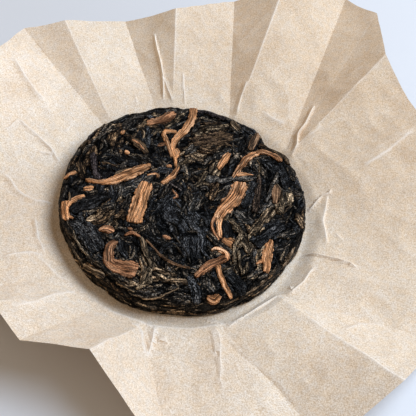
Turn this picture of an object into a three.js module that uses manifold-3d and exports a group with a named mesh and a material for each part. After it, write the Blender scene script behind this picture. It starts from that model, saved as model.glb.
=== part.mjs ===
// A pressed cake of pu erh tea lying on its own opened paper wrapper.
// Millimetres, +Z up. The origin is under the middle of the cake, where the wrapper meets the table.
import * as THREE from "three";
import { mergeVertices } from "three/addons/utils/BufferGeometryUtils.js";
import Module from "manifold-3d";

const wasm = await Module();
wasm.setup();

// ---------------------------------------------------------------- driving sizes

const PAPER = 0.3; // thickness of the wrapper
const GAP = 0.3; // clearance between the wrapper and the cake on it
const FLAT_RADIUS = 54; // the wrapper lies flat under the cake out to here
const RING_RADIUS = 62; // crease where the wrapper once turned over the cake's edge

const CAKE_RADIUS = 52.5;
const CAKE_HEIGHT = 13.5; // from the cake's underside to its leaves' tops, at the middle
const LEAF_RELIEF = 0.9; // how far a typical leaf stands proud of the core
const CROWN = 0.8; // the top is this much lower at its edge than at its middle
const EDGE_RADIUS = 4.5; // rounding from the top to the wall
const FOOT_RADIUS = 1.5; // rounding from the wall to the underside
const LEAF_DEPTH = 1.1; // how deep a leaf's underside sits in the core

const TOP_REACH = CAKE_RADIUS - EDGE_RADIUS;
const EDGE_REACH = TOP_REACH + (EDGE_RADIUS * Math.PI) / 2;
const CAKE_BASE = PAPER + GAP;
const CORE_TOP = CAKE_BASE + CAKE_HEIGHT - LEAF_RELIEF;
const WALL_HEIGHT = CORE_TOP - CROWN - EDGE_RADIUS - FOOT_RADIUS - CAKE_BASE;
const WALL_REACH = EDGE_REACH + WALL_HEIGHT;

// ---------------------------------------------------------------- small helpers

const radians = (degrees) => (degrees * Math.PI) / 180;
const mix = (a, b, t) => a + (b - a) * t;

// A repeatable stream of numbers from 0 to 1.
function drawsFrom(seed) {
  let state = seed >>> 0;
  return () => {
    state = (Math.imul(state, 1664525) + 1013904223) >>> 0;
    return state / 4294967296;
  };
}

function polar(degrees, radius, height) {
  const a = radians(degrees);
  return new THREE.Vector3(radius * Math.cos(a), radius * Math.sin(a), height);
}

function solidFrom(geometry) {
  const bare = geometry.clone();
  bare.deleteAttribute("normal");
  bare.deleteAttribute("uv");
  const closed = mergeVertices(bare, 1e-4);
  return new wasm.Manifold(
    new wasm.Mesh({
      numProp: 3,
      vertProperties: new Float32Array(closed.attributes.position.array),
      triVerts: new Uint32Array(closed.index.array),
    }),
  );
}

function geometryFrom(solid) {
  const mesh = solid.getMesh();
  const geometry = new THREE.BufferGeometry();
  geometry.setAttribute("position", new THREE.BufferAttribute(mesh.vertProperties, 3));
  geometry.setIndex(new THREE.BufferAttribute(mesh.triVerts, 1));
  geometry.computeVertexNormals();
  return geometry;
}

// ---------------------------------------------------------------- the photo's camera

// The camera that took the photo, so that a place read off the photo by eye can be given as its pixel,
// in the photo's own 416 x 416 frame, and is turned into millimetres here.
const VIEW = { pixels: 416, field: 30, tilt: 52.53, roll: 9.34, distance: 342.9, aimX: 11, aimY: 4.2 };
const HALF_PICTURE = VIEW.pixels / 2;
const FOCAL = HALF_PICTURE / Math.tan(radians(VIEW.field / 2)); // in pixels
const FORWARD = new THREE.Vector3(0, Math.cos(radians(VIEW.tilt)), -Math.sin(radians(VIEW.tilt)));
const RIGHT = new THREE.Vector3(1, 0, 0).applyAxisAngle(FORWARD, -radians(VIEW.roll));
const UP = RIGHT.clone().cross(FORWARD);
const EYE = new THREE.Vector3(VIEW.aimX, VIEW.aimY, 0).addScaledVector(FORWARD, -VIEW.distance);

// The pixel that shows a point.
function inPhoto(point) {
  const sight = point.clone().sub(EYE);
  const scale = FOCAL / sight.dot(FORWARD);
  return [HALF_PICTURE + sight.dot(RIGHT) * scale, HALF_PICTURE - sight.dot(UP) * scale];
}

// The point at a height that a pixel shows.
function fromPhoto([px, py], height) {
  const sight = FORWARD.clone().multiplyScalar(FOCAL);
  sight.addScaledVector(RIGHT, px - HALF_PICTURE).addScaledVector(UP, HALF_PICTURE - py);
  return EYE.clone().addScaledVector(sight, (height - EYE.z) / sight.z);
}

// ---------------------------------------------------------------- the wrapper

// The sheet's folds, anticlockwise from the near left. ring is the angle and height where a fold leaves
// the ring crease. Its end on the sheet's edge is a pixel in the photo's frame or, where the photo cuts
// the sheet off, an angle and a radius chosen to finish the sheet like what shows. The first two pixels
// were read off the photo, and most others are an earlier draft's ends as the camera shows them. High
// ends are ridges.
const FOLDS = [
  { ring: [-144, 4], angle: -145.5, radius: 105, height: 16 },
  { ring: [-136, 3], angle: -138, radius: 98, height: 14 },
  { ring: [-123, 4], angle: -130.5, radius: 93.5, height: 23 },
  { ring: [-114, 3], pixel: [19.5, 339.5], height: 26 },
  { ring: [-97.5, 4], pixel: [89, 348.5], height: 30 },
  { ring: [-95.5, 2.5], angle: -83, radius: 118, height: 9 },
  { ring: [-69, 4.5], angle: -71.5, radius: 115, height: 8 },
  { ring: [-66, 3], angle: -55.5, radius: 118, height: 6 },
  { ring: [-40, 5], pixel: [404, 381], height: 21 },
  { ring: [-37, 3.5], angle: -24, radius: 120, height: 8 },
  { ring: [-15, 4], angle: -10, radius: 121, height: 12 },
  { ring: [8, 2.5], angle: 10, radius: 118, height: 15 },
  { ring: [24, 3.5], angle: 29, radius: 119.5, height: 21 },
  { ring: [36, 2.5], pixel: [408.5, 100], height: 20 },
  { ring: [43, 4], pixel: [385.5, 54], height: 28 },
  { ring: [44.5, 3.3], pixel: [377.5, 13], height: 25 },
  { ring: [46, 2.5], pixel: [345.5, 0], height: 17 },
  { ring: [74, 4], angle: 76.5, radius: 133.5, height: 29 },
  { ring: [77, 2.5], pixel: [234.5, 2], height: 15 },
  { ring: [103, 4], pixel: [176, 9], height: 23 },
  { ring: [111, 2.5], pixel: [125, 22], height: 9 },
  { ring: [133, 4], pixel: [65, 20.5], height: 20 },
  { ring: [137, 2.5], angle: 138, radius: 124, height: 15 },
  { ring: [158, 4], angle: 160, radius: 115, height: 22 },
  { ring: [178, 2.5], angle: 178, radius: 118, height: 26 },
  { ring: [195, 3.5], angle: 197, radius: 115, height: 8 },
];
const PANEL_COLUMNS = 2; // columns of faces between two folds
const FLAT_STATIONS = [0.5, 1]; // shares of FLAT_RADIUS
const FOLD_STATIONS = [0, 0.33, 0.67, 1]; // shares of the way from the ring crease to the edge

const foldEnd = ({ pixel, angle, radius, height }) =>
  pixel ? fromPhoto(pixel, height) : polar(angle, radius, height);

// The sheet's lower face along one radial column, from the table's middle outwards.
function wrapperColumn(from, to, t) {
  const ringTurn = from.ring[0] > to.ring[0] ? 360 : 0;
  const ringAngle = mix(from.ring[0], to.ring[0] + ringTurn, t);
  const ring = polar(ringAngle, RING_RADIUS, mix(from.ring[1], to.ring[1], t));
  const end = foldEnd(from).lerp(foldEnd(to), t);
  const flat = FLAT_STATIONS.map((share) => polar(ringAngle, FLAT_RADIUS * share, 0));
  return [...flat, ...FOLD_STATIONS.map((share) => ring.clone().lerp(end, share))];
}

function wrapper() {
  const columns = FOLDS.flatMap((fold, i) => {
    const next = FOLDS[(i + 1) % FOLDS.length];
    const shares = Array.from({ length: PANEL_COLUMNS }, (_, k) => k / PANEL_COLUMNS);
    return shares.map((t) => wrapperColumn(fold, next, t));
  });
  const rows = columns[0].length;
  const lower = [new THREE.Vector3(0, 0, 0), ...columns.flat()];
  const at = (column, row) => 1 + (column % columns.length) * rows + row;

  // One set of triangles serves both faces, so the sheet keeps its thickness.
  const face = [];
  for (let c = 0; c < columns.length; c++) {
    face.push([0, at(c, 0), at(c + 1, 0)]);
    for (let r = 0; r + 1 < rows; r++) {
      face.push([at(c, r), at(c, r + 1), at(c + 1, r + 1)]);
      face.push([at(c, r), at(c + 1, r + 1), at(c + 1, r)]);
    }
  }
  const count = lower.length;
  const upward = face.map((corners) => corners.map((i) => i + count));
  const downward = face.map(([a, b, c]) => [a, c, b]);
  const rim = columns.flatMap((_, c) => {
    const [a, b] = [at(c, rows - 1), at(c + 1, rows - 1)];
    return [
      [a, b, b + count],
      [a, b + count, a + count],
    ];
  });
  const upper = lower.map((p) => p.clone().setZ(p.z + PAPER));
  const geometry = new THREE.BufferGeometry().setFromPoints([...lower, ...upper]);
  geometry.setIndex([...upward, ...downward, ...rim].flat());
  geometry.computeVertexNormals();
  return geometry;
}

// ---------------------------------------------------------------- the cake's form

// The cake is laid out on a flat map: the distance from the map's middle is the distance along the
// cake's surface, over the top, round the edge and down the wall.
function section(reach) {
  const edgeTop = CORE_TOP - CROWN;
  if (reach <= TOP_REACH) {
    const drop = CROWN * (reach / TOP_REACH) ** 2;
    return { radius: reach, height: CORE_TOP - drop, out: 0, up: 1 };
  }
  if (reach <= EDGE_REACH) {
    const turn = (reach - TOP_REACH) / EDGE_RADIUS;
    return {
      radius: TOP_REACH + EDGE_RADIUS * Math.sin(turn),
      height: edgeTop - EDGE_RADIUS * (1 - Math.cos(turn)),
      out: Math.sin(turn),
      up: Math.cos(turn),
    };
  }
  const height = edgeTop - EDGE_RADIUS - (Math.min(reach, WALL_REACH) - EDGE_REACH);
  return { radius: CAKE_RADIUS, height, out: 1, up: 0 };
}

// The disc isn't quite round: slow waves, and a notch where its far right edge has crumbled.
const NOTCH = { angle: 47, halfWidth: 6.5, depth: 4 };
const WAVES = [
  { count: 3, depth: 0.45, phase: 0.6 },
  { count: 7, depth: 0.3, phase: 2.1 },
  { count: 12, depth: 0.2, phase: 4.0 },
];

function outline(angle) {
  const waves = WAVES.reduce((sum, w) => sum + w.depth * Math.sin(w.count * angle + w.phase), 0);
  const off = Math.atan2(Math.sin(angle - radians(NOTCH.angle)), Math.cos(angle - radians(NOTCH.angle)));
  const notch = NOTCH.depth * Math.exp(-((off / radians(NOTCH.halfWidth)) ** 2));
  return 1 + (waves - notch) / CAKE_RADIUS;
}

// The point at a place on the map, lifted off the core's surface.
function onCake(x, y, lift) {
  const angle = Math.atan2(y, x);
  const s = section(Math.hypot(x, y));
  const radius = s.radius * outline(angle) + lift * s.out;
  return new THREE.Vector3(radius * Math.cos(angle), radius * Math.sin(angle), s.height + lift * s.up);
}

const CORE_SIDES = 60;
const CORE_RINGS = [0.3, 0.6, 0.82, 1]; // shares of TOP_REACH
const EDGE_STEPS = 3;
const CORE_UNEVENNESS = 0.25;

// The core under the leaves: a turned disc, pushed in and out a little by place.
function core() {
  const reaches = CORE_RINGS.map((share) => share * TOP_REACH);
  for (let i = 1; i <= EDGE_STEPS; i++) reaches.push(mix(TOP_REACH, EDGE_REACH, i / EDGE_STEPS));
  reaches.push(WALL_REACH);
  const side = reaches.map((reach) => {
    const s = section(reach);
    return new THREE.Vector2(s.radius, s.height);
  });
  const profile = [
    new THREE.Vector2(0, CORE_TOP),
    ...side,
    new THREE.Vector2(CAKE_RADIUS - FOOT_RADIUS, CAKE_BASE),
    new THREE.Vector2(0, CAKE_BASE),
  ].reverse();
  const geometry = new THREE.LatheGeometry(profile, CORE_SIDES);
  geometry.rotateX(Math.PI / 2); // the lathe turns about Y, and the cake stands on Z
  const position = geometry.attributes.position;
  for (let i = 0; i < position.count; i++) {
    const [x, y, z] = [position.getX(i), position.getY(i), position.getZ(i)];
    const angle = Math.atan2(y, x);
    const bump = CORE_UNEVENNESS * Math.sin(0.31 * x + 1.3) * Math.sin(0.27 * y + 0.4);
    const scale = Math.hypot(x, y) > 1e-6 ? outline(angle) : 1;
    position.setXYZ(i, x * scale, y * scale, z > CAKE_BASE + FOOT_RADIUS ? z + bump : z);
  }
  return solidFrom(geometry);
}

// ---------------------------------------------------------------- the leaves

// Leaves that can be told apart, as readings off the photo: pixel across, pixel down, width in pixels.
// rise is how far the leaf stands off the core, in millimetres.
const BUDS = {
  ribbon: {
    seen: [[193, 109, 8], [192, 117, 8], [187, 127.5, 8], [178, 137, 7.5], [173, 147, 6], [176, 166, 3]],
    rise: 1.5,
  },
  ribbonArm: { seen: [[176, 131, 3], [165.5, 131, 4.5], [165.5, 138, 5], [172, 156, 3.5]], rise: 1.2 },
  longGold: {
    seen: [[87, 180, 3.5], [105, 182, 5], [120, 178, 7.5], [135, 171.5, 8], [151, 165.5, 4]],
    rise: 1.4,
  },
  slab: { seen: [[147, 183, 14], [142, 195.5, 15.5], [137.5, 210.5, 15.5], [133, 223, 15]], rise: 1.3 },
  swoop: { seen: [[190, 160, 3], [177, 168, 4], [173, 175, 5.5], [162, 184, 4]], rise: 1.3 },
  peg: { seen: [[229, 153.5, 6], [223.5, 160.5, 7], [218, 169.5, 4.5]], rise: 1.3 },
  arch: {
    seen: [[281, 161, 2.5], [265, 152.5, 4], [252.5, 154.5, 4.5], [242.5, 164, 4.5], [233, 178, 3]],
    rise: 1.4,
  },
  wedge: { seen: [[237, 175.5, 4.5], [253, 175.5, 2.5]], rise: 1.3 },
  blade: { seen: [[241, 183, 16.5], [236, 195, 15.5], [224, 209, 13], [217, 218, 8]], rise: 1.3 },
  prongs: { seen: [[218.5, 217, 6], [219, 227.5, 5.5], [220.5, 238.5, 3]], rise: 1.2 },
  block: { seen: [[224, 240, 5.5], [233, 243.5, 7]], rise: 1.2 },
  shoe: { seen: [[196.5, 276, 6], [211, 264.5, 9], [226, 257.5, 6]], rise: 1.6 },
  shoeCurl: { seen: [[226.5, 258.5, 4.5], [224.5, 251.5, 5], [211.5, 250, 3.5]], rise: 1.3 },
  leg: { seen: [[218.5, 265.5, 4.5], [223.5, 281.5, 5], [231, 298.5, 4]], rise: 1.5 },
  blob: { seen: [[208, 298.5, 4.5], [218, 297, 6]], rise: 1.3 },
  goldLeaf: { seen: [[271.5, 239.5, 4.5], [267.5, 253, 11], [266.5, 271.5, 8]], rise: 1.4 },
  boot: {
    seen: [[117, 241.5, 4.5], [108.5, 252, 8.5], [112, 263, 13], [123.5, 268, 15.5], [136.5, 270.5, 16]],
    rise: 1.2,
  },
  leftRim: { seen: [[64.5, 205, 6], [66.5, 219.5, 5]], rise: 1.2 },
  leftRimChip: { seen: [[64, 177, 3.5], [75.5, 171, 4]], rise: 1.2 },
  leftChip: { seen: [[83.5, 188.5, 3.5], [93.5, 187, 3.5]], rise: 1.2 },
  topLeft: { seen: [[148, 122, 4], [162.5, 118.5, 6], [173, 112.5, 4]], rise: 1.2 },
  streak: { seen: [[130.5, 138, 4.5], [142, 147, 7.5], [146.5, 152.5, 5.5]], rise: 1.2 },
  rimTan: { seen: [[83.5, 266.5, 4.5], [104, 277.5, 4.5]], rise: 1.1 },
  knob: { seen: [[257, 134, 6], [254, 141.5, 9.5], [250, 150, 6.5]], rise: 1.5 },
};
const DARK_LEAVES = {
  topSlab: { seen: [[197.5, 112, 5], [211, 114.5, 6], [226, 119.5, 5]], rise: 1.0 },
  rightLeaf: { seen: [[273, 208, 7], [263, 221.5, 12], [253, 235.5, 8]], rise: 1.1 },
  rolledLeaf: { seen: [[277.5, 185, 4.5], [279, 194.5, 7], [275.5, 206, 4.5]], rise: 1.0 },
  strap: {
    seen: [[139, 236.5, 4], [144, 249, 5.5], [150.5, 262.5, 5.5], [148, 275, 5], [136.5, 289.5, 3.5]],
    rise: 1.1,
  },
  rightStrand: { seen: [[239.5, 226.5, 4], [241, 232.5, 4.5], [234, 249, 4.5], [235, 264, 3.5]], rise: 1.1 },
  plum: { seen: [[93, 153, 8], [94.5, 167.5, 8], [97.5, 179, 6.5]], rise: 1.3 },
  darkBar: { seen: [[220, 181.5, 3.5], [237.5, 179, 4.5], [258, 173, 3.5]], rise: 1.7 },
};

// Broad dark leaves whose edges don't show, placed by hand on the map: across, away and width in
// millimetres.
const BROAD_LEAVES = {
  centre: { route: [[-9, -5, 10], [0, -12, 14], [7, -21, 14], [8, -32, 9]], rise: 0.9 },
  farRight: { route: [[43, -6, 7], [37, -15, 9.5], [30, -25, 7]], rise: 0.9 },
  nearLeft: { route: [[-43, -22, 7], [-36, -28, 9.5], [-28, -36, 7]], rise: 0.9 },
  left: { route: [[-45, -18, 5], [-39, -13, 7.5], [-30, -7, 5]], rise: 0.9 },
  far: { route: [[-1, 31, 6], [8, 34, 8.5], [17, 37, 6]], rise: 0.8 },
  near: { route: [[-5, -46, 4], [0, -44, 6.5], [5, -43, 4]], rise: 0.9 },
  rightInner: { route: [[31, 9, 2], [30, 2, 3], [29, -4, 2]], rise: 1.1 },
  rightOuter: { route: [[36, 20, 2], [34, 10, 3], [28, -3, 2]], rise: 1.1 },
  nearMiddle: { route: [[8, -41, 3], [12, -48, 5], [13, -52, 3]], rise: 1.0 },
  nearRight: { route: [[23, -38, 4], [30, -42, 5.5], [29, -45, 4]], rise: 0.9 },
};

const SEARCH_STEPS = 40;
const SEARCH_LIMIT = 4; // longest step on the map
const NUDGE = 0.05;

// Where on the map a pixel looks, and how far on the map one pixel across and one down then reach.
function lookAt(px, py) {
  let { x, y } = fromPhoto([px, py], CORE_TOP);
  let across, down;
  for (let i = 0; i < SEARCH_STEPS; i++) {
    const here = inPhoto(onCake(x, y, LEAF_RELIEF));
    const overX = inPhoto(onCake(x + NUDGE, y, LEAF_RELIEF)).map((v, k) => (v - here[k]) / NUDGE);
    const overY = inPhoto(onCake(x, y + NUDGE, LEAF_RELIEF)).map((v, k) => (v - here[k]) / NUDGE);
    const area = overX[0] * overY[1] - overY[0] * overX[1];
    across = new THREE.Vector2(overY[1], -overX[1]).divideScalar(area);
    down = new THREE.Vector2(-overY[0], overX[0]).divideScalar(area);
    const step = across.clone().multiplyScalar(px - here[0]).addScaledVector(down, py - here[1]);
    step.clampLength(0, SEARCH_LIMIT);
    x += step.x;
    y += step.y;
  }
  return { place: new THREE.Vector2(x, y), across, down };
}

// A leaf's route on the map, with its widths, from its readings off the photo.
function routeSeen(seen) {
  const looks = seen.map(([px, py]) => lookAt(px, py));
  return seen.map(([, , wide], i) => {
    const [before, after] = [Math.max(i - 1, 0), Math.min(i + 1, seen.length - 1)];
    const heading = new THREE.Vector2(seen[after][0] - seen[before][0], seen[after][1] - seen[before][1]);
    heading.normalize().multiplyScalar(wide);
    const { place, across, down } = looks[i];
    const span = across.clone().multiplyScalar(-heading.y).addScaledVector(down, heading.x);
    const along = looks[after].place.clone().sub(looks[before].place).normalize();
    return [place.x, place.y, Math.abs(along.cross(span))];
  });
}

// The rest of the leaves, spread evenly by the golden angle: any way round on the top, and along the
// edge and the wall further out, where the mould laid them flat.
const SPREAD = { count: 56, seed: 20, turn: 137.508, reach: WALL_REACH - 1.5 };
const SPREAD_STEPS = 4;

function spreadLeaves() {
  const draw = drawsFrom(SPREAD.seed);
  return Array.from({ length: SPREAD.count }, (_, k) => {
    const reach = SPREAD.reach * Math.sqrt((k + 0.5) / SPREAD.count);
    const around = radians(k * SPREAD.turn);
    const free = reach < TOP_REACH - 6;
    const heading = free ? draw() * Math.PI : around + Math.PI / 2 + (draw() - 0.5) * 0.6;
    const length = mix(11, 23, draw());
    const width = free ? mix(2.4, 4.6, draw()) : mix(2, 3.4, draw());
    const bend = free ? (draw() - 0.5) * 1.6 : length / reach;
    const rise = mix(0.6, 1.2, draw());
    const route = [];
    let [x, y] = [reach * Math.cos(around), reach * Math.sin(around)];
    x -= (Math.cos(heading) * length) / 2;
    y -= (Math.sin(heading) * length) / 2;
    for (let i = 0; i <= SPREAD_STEPS; i++) {
      const share = i / SPREAD_STEPS;
      route.push([x, y, width * mix(0.6, 1, Math.sin(Math.PI * share))]);
      const way = heading + bend * (share - 0.5);
      x += (Math.cos(way) * length) / SPREAD_STEPS;
      y += (Math.sin(way) * length) / SPREAD_STEPS;
    }
    return { route, rise };
  });
}

const LEAF_STATION = 4.6; // length of a leaf's faces
const WIDE_LEAF = 4; // wider leaves have two folds along them
const NARROW_SECTION = [0.3, 1, 0.35]; // share of the rise, across the leaf
const WIDE_SECTION = [0.25, 1, 0.55, 0.95, 0.3];
const MAP_LIMIT = WALL_REACH - 0.4;

// A leaf is a box, bent along its route over the cake, ridged across and lower at its ends.
function leaf({ route, rise }) {
  const line = new THREE.CatmullRomCurve3(route.map((place) => new THREE.Vector3(...place)));
  const stations = THREE.MathUtils.clamp(Math.round(line.getLength() / LEAF_STATION), 3, 7);
  const widest = Math.max(...route.map(([, , width]) => width));
  const heights = widest > WIDE_LEAF ? WIDE_SECTION : NARROW_SECTION;
  const across = heights.length - 1;
  const geometry = new THREE.BoxGeometry(1, 1, 1, stations, across, 1);
  const position = geometry.attributes.position;
  for (let i = 0; i < position.count; i++) {
    const along = THREE.MathUtils.clamp(position.getX(i) + 0.5, 0, 1);
    const column = Math.round((position.getY(i) + 0.5) * across);
    const place = line.getPointAt(along);
    const tangent = line.getTangentAt(along).setZ(0).normalize();
    const offset = (column / across - 0.5) * place.z;
    let x = place.x - tangent.y * offset;
    let y = place.y + tangent.x * offset;
    const reach = Math.hypot(x, y);
    if (reach > MAP_LIMIT) {
      x *= MAP_LIMIT / reach;
      y *= MAP_LIMIT / reach;
    }
    const body = Math.sin(Math.PI * mix(0.14, 0.86, along)) ** 0.5;
    const lift = position.getZ(i) > 0 ? rise * heights[column] * body : -LEAF_DEPTH;
    const p = onCake(x, y, lift);
    position.setXYZ(i, p.x, p.y, p.z);
  }
  return solidFrom(geometry);
}

function teaCake() {
  const seen = [...Object.values(DARK_LEAVES), ...Object.values(BUDS)];
  const traced = seen.map((each) => ({ route: routeSeen(each.seen), rise: each.rise }));
  const leaves = [...spreadLeaves(), ...Object.values(BROAD_LEAVES), ...traced];
  return geometryFrom(leaves.reduce((cake, each) => cake.add(leaf(each)), core()));
}

// ---------------------------------------------------------------- the part

const teaFinish = new THREE.MeshStandardMaterial({ color: 0x241d18, roughness: 0.6, metalness: 0 });
const paperFinish = new THREE.MeshStandardMaterial({ color: 0xddcdb6, roughness: 0.9, metalness: 0 });

function part(name, geometry, material) {
  const mesh = new THREE.Mesh(geometry, material);
  mesh.name = name;
  return mesh;
}

const teaCakeOnWrapper = new THREE.Group();
teaCakeOnWrapper.add(part("wrapper", wrapper(), paperFinish));
teaCakeOnWrapper.add(part("tea_cake", teaCake(), teaFinish));

export default teaCakeOnWrapper;
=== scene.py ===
import math

import bpy
import numpy as np
from mathutils import Matrix


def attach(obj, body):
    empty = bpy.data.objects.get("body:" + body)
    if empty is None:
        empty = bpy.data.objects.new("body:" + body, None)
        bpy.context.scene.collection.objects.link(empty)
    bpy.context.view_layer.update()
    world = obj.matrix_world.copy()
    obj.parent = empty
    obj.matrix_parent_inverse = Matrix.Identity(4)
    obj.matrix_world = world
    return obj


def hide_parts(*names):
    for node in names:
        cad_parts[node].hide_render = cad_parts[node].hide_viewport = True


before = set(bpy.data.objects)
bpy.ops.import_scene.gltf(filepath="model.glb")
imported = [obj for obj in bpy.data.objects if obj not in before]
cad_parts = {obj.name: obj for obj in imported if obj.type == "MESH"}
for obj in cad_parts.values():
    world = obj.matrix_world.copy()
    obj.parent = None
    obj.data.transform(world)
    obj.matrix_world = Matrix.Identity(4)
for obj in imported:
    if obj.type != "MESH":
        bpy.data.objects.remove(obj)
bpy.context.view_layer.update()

MM = 0.001

# ---------------------------------------------------------------- driving sizes, as in the part

PAPER = 0.3  # the frame's sheet; the dressed one is thinner
SHEET = 0.14
GAP = 0.3
FLAT_RADIUS = 54
RING_RADIUS = 62

CAKE_RADIUS = 52.5
CAKE_HEIGHT = 13.5
LEAF_RELIEF = 0.9
CROWN = 0.8
EDGE_RADIUS = 4.5
FOOT_RADIUS = 1.5

TOP_REACH = CAKE_RADIUS - EDGE_RADIUS
EDGE_REACH = TOP_REACH + EDGE_RADIUS * math.pi / 2
CAKE_BASE = PAPER + GAP
CORE_TOP = CAKE_BASE + CAKE_HEIGHT - LEAF_RELIEF
WALL_HEIGHT = CORE_TOP - CROWN - EDGE_RADIUS - FOOT_RADIUS - CAKE_BASE
WALL_REACH = EDGE_REACH + WALL_HEIGHT
FOOT_REACH = WALL_REACH + FOOT_RADIUS * math.pi / 2

# ---------------------------------------------------------------- noise and curves

X_FACTOR = 374761393
Y_FACTOR = 668265263
SEED_FACTOR = 974711
SCRAMBLE = 1274126177
LOW_32_BITS = 0xFFFFFFFF
LOW_24_BITS = 0xFFFFFF


def hashed(ix, iy, seed):
    """A repeatable number from 0 to 1 for each point of a lattice."""
    n = ix.astype(np.int64) * X_FACTOR + iy.astype(np.int64) * Y_FACTOR + int(seed) * SEED_FACTOR
    n = n & LOW_32_BITS
    n = ((n ^ (n >> 13)) * SCRAMBLE) & LOW_32_BITS
    return ((n ^ (n >> 16)) & LOW_24_BITS) / LOW_24_BITS


def noise(x, y, seed=0):
    """Smooth noise from -1 to 1, with features about one unit across."""
    x, y = np.broadcast_arrays(np.asarray(x, float), np.asarray(y, float))
    ix, iy = np.floor(x), np.floor(y)
    fx, fy = x - ix, y - iy
    fx = fx * fx * (3 - 2 * fx)
    fy = fy * fy * (3 - 2 * fy)
    low = hashed(ix, iy, seed) * (1 - fx) + hashed(ix + 1, iy, seed) * fx
    high = hashed(ix, iy + 1, seed) * (1 - fx) + hashed(ix + 1, iy + 1, seed) * fx
    return 2 * (low * (1 - fy) + high * fy) - 1


def ridged(x, y, seed=0):
    """Noise from -1 to 1 with sharp crests."""
    return 1 - 3 * np.abs(noise(x, y, seed))


def fractal(x, y, octaves, seed=0):
    """Noise with finer noise on it, each octave half as wide and half as high."""
    total = sum(noise(x * 2**k, y * 2**k, seed + k) / 2**k for k in range(octaves))
    return total / (2 - 2 ** (1 - octaves))


def eased(value, low, high):
    """0 below low, 1 above high, and smooth between."""
    t = np.clip((value - low) / (high - low), 0, 1)
    return t * t * (3 - 2 * t)


# ---------------------------------------------------------------- meshes


def mesh_piece(name, points, faces, attributes, material, smooth=True):
    """A mesh object from points in millimetres, with its named numbers for each point."""
    mesh = bpy.data.meshes.new(name)
    mesh.from_pydata((np.asarray(points) * MM).tolist(), [], faces)
    if smooth:
        mesh.shade_smooth()
    else:
        mesh.shade_flat()
    for key, values in attributes.items():
        layer = mesh.attributes.new(key, "FLOAT", "POINT")
        layer.data.foreach_set("value", np.asarray(values, np.float32).ravel())
    mesh.materials.append(material)
    piece = bpy.data.objects.new(name, mesh)
    bpy.context.scene.collection.objects.link(piece)
    return piece


def grid_faces(rows, columns, wrap=False, flip=False):
    """The quads between neighbouring points of a grid that is stored row by row."""
    r, c = np.meshgrid(np.arange(rows - 1), np.arange(columns if wrap else columns - 1), indexing="ij")
    a = r * columns + c
    b = r * columns + (c + 1) % columns
    quads = np.stack([a, b, b + columns, a + columns], axis=-1).reshape(-1, 4)
    return (quads[:, ::-1] if flip else quads).tolist()


# ---------------------------------------------------------------- the cake's form


def section(reach):
    """The core's radius, height and outward normal at a distance along its surface from the middle."""
    edge_top = CORE_TOP - CROWN
    wall_foot = CAKE_BASE + FOOT_RADIUS
    turn = np.clip((reach - TOP_REACH) / EDGE_RADIUS, 0, math.pi / 2)
    tuck = np.clip((reach - WALL_REACH) / FOOT_RADIUS, 0, math.pi / 2)
    radius = np.minimum(reach, TOP_REACH) + EDGE_RADIUS * np.sin(turn)
    radius = radius - FOOT_RADIUS * (1 - np.cos(tuck))
    top = CORE_TOP - CROWN * (np.minimum(reach, TOP_REACH) / TOP_REACH) ** 2
    height = np.where(reach < TOP_REACH, top, edge_top - EDGE_RADIUS * (1 - np.cos(turn)))
    height = np.where(reach > EDGE_REACH, edge_top - EDGE_RADIUS - (reach - EDGE_REACH), height)
    height = np.where(reach > WALL_REACH, wall_foot - FOOT_RADIUS * np.sin(tuck), height)
    out = np.where(reach > WALL_REACH, np.cos(tuck), np.sin(turn))
    up = np.where(reach > WALL_REACH, -np.sin(tuck), np.cos(turn))
    return radius, height, out, up


NOTCH_ANGLE = 47
NOTCH_HALF_WIDTH = 6.5
NOTCH_DEPTH = 4
WAVES = ((3, 0.45, 0.6), (7, 0.3, 2.1), (12, 0.2, 4.0))  # count, depth and phase round the disc


def outline(angle):
    """The disc's radius at an angle, as a share of CAKE_RADIUS."""
    waves = sum(depth * np.sin(count * angle + phase) for count, depth, phase in WAVES)
    off = angle - math.radians(NOTCH_ANGLE)
    off = np.arctan2(np.sin(off), np.cos(off))
    notch = NOTCH_DEPTH * np.exp(-((off / math.radians(NOTCH_HALF_WIDTH)) ** 2))
    return 1 + (waves - notch) / CAKE_RADIUS


def on_cake(x, y, lift):
    """Points in the frame for places on the cake's flat map, lifted off the core's surface."""
    angle = np.arctan2(y, x)
    radius, height, out, up = section(np.hypot(x, y))
    radius = radius * outline(angle) + lift * out
    return np.stack([radius * np.cos(angle), radius * np.sin(angle), height + lift * up], axis=-1)


# ---------------------------------------------------------------- the bed of pressed leaves

# The bed is painted leaf by leaf on a flat map of the cake: each leaf lies on what is under it, and
# writes its height and the numbers that its material reads.
BED_STEP = 0.2
BED_HALF = 64.0
BED_CELLS = int(2 * BED_HALF / BED_STEP) + 1
PAINT_STEP = 0.12
PAINTED = ("along", "across", "leaf", "ink", "thread", "wear_and_highlight")  # what a leaf paints besides its height
draws = np.random.default_rng(11)

# What a leaf is like: ink is its colour, from blue-black through brown to gold, and thread is how
# much its ridges show paler fibres.
BLUE = dict(ink=0.0, thread=0.25)
BLACK = dict(ink=0.12, thread=0.5)
DUSK = dict(ink=0.24, thread=0.4)
PLUM = dict(ink=0.34, thread=0.3)
UMBER = dict(ink=0.44, thread=0.6)
GREY = dict(ink=0.56, thread=0.8)
TAN = dict(ink=0.70, thread=0.85)
RUST = dict(ink=0.85, thread=0.6)
GOLD = dict(ink=1.0, thread=0.6)
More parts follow.
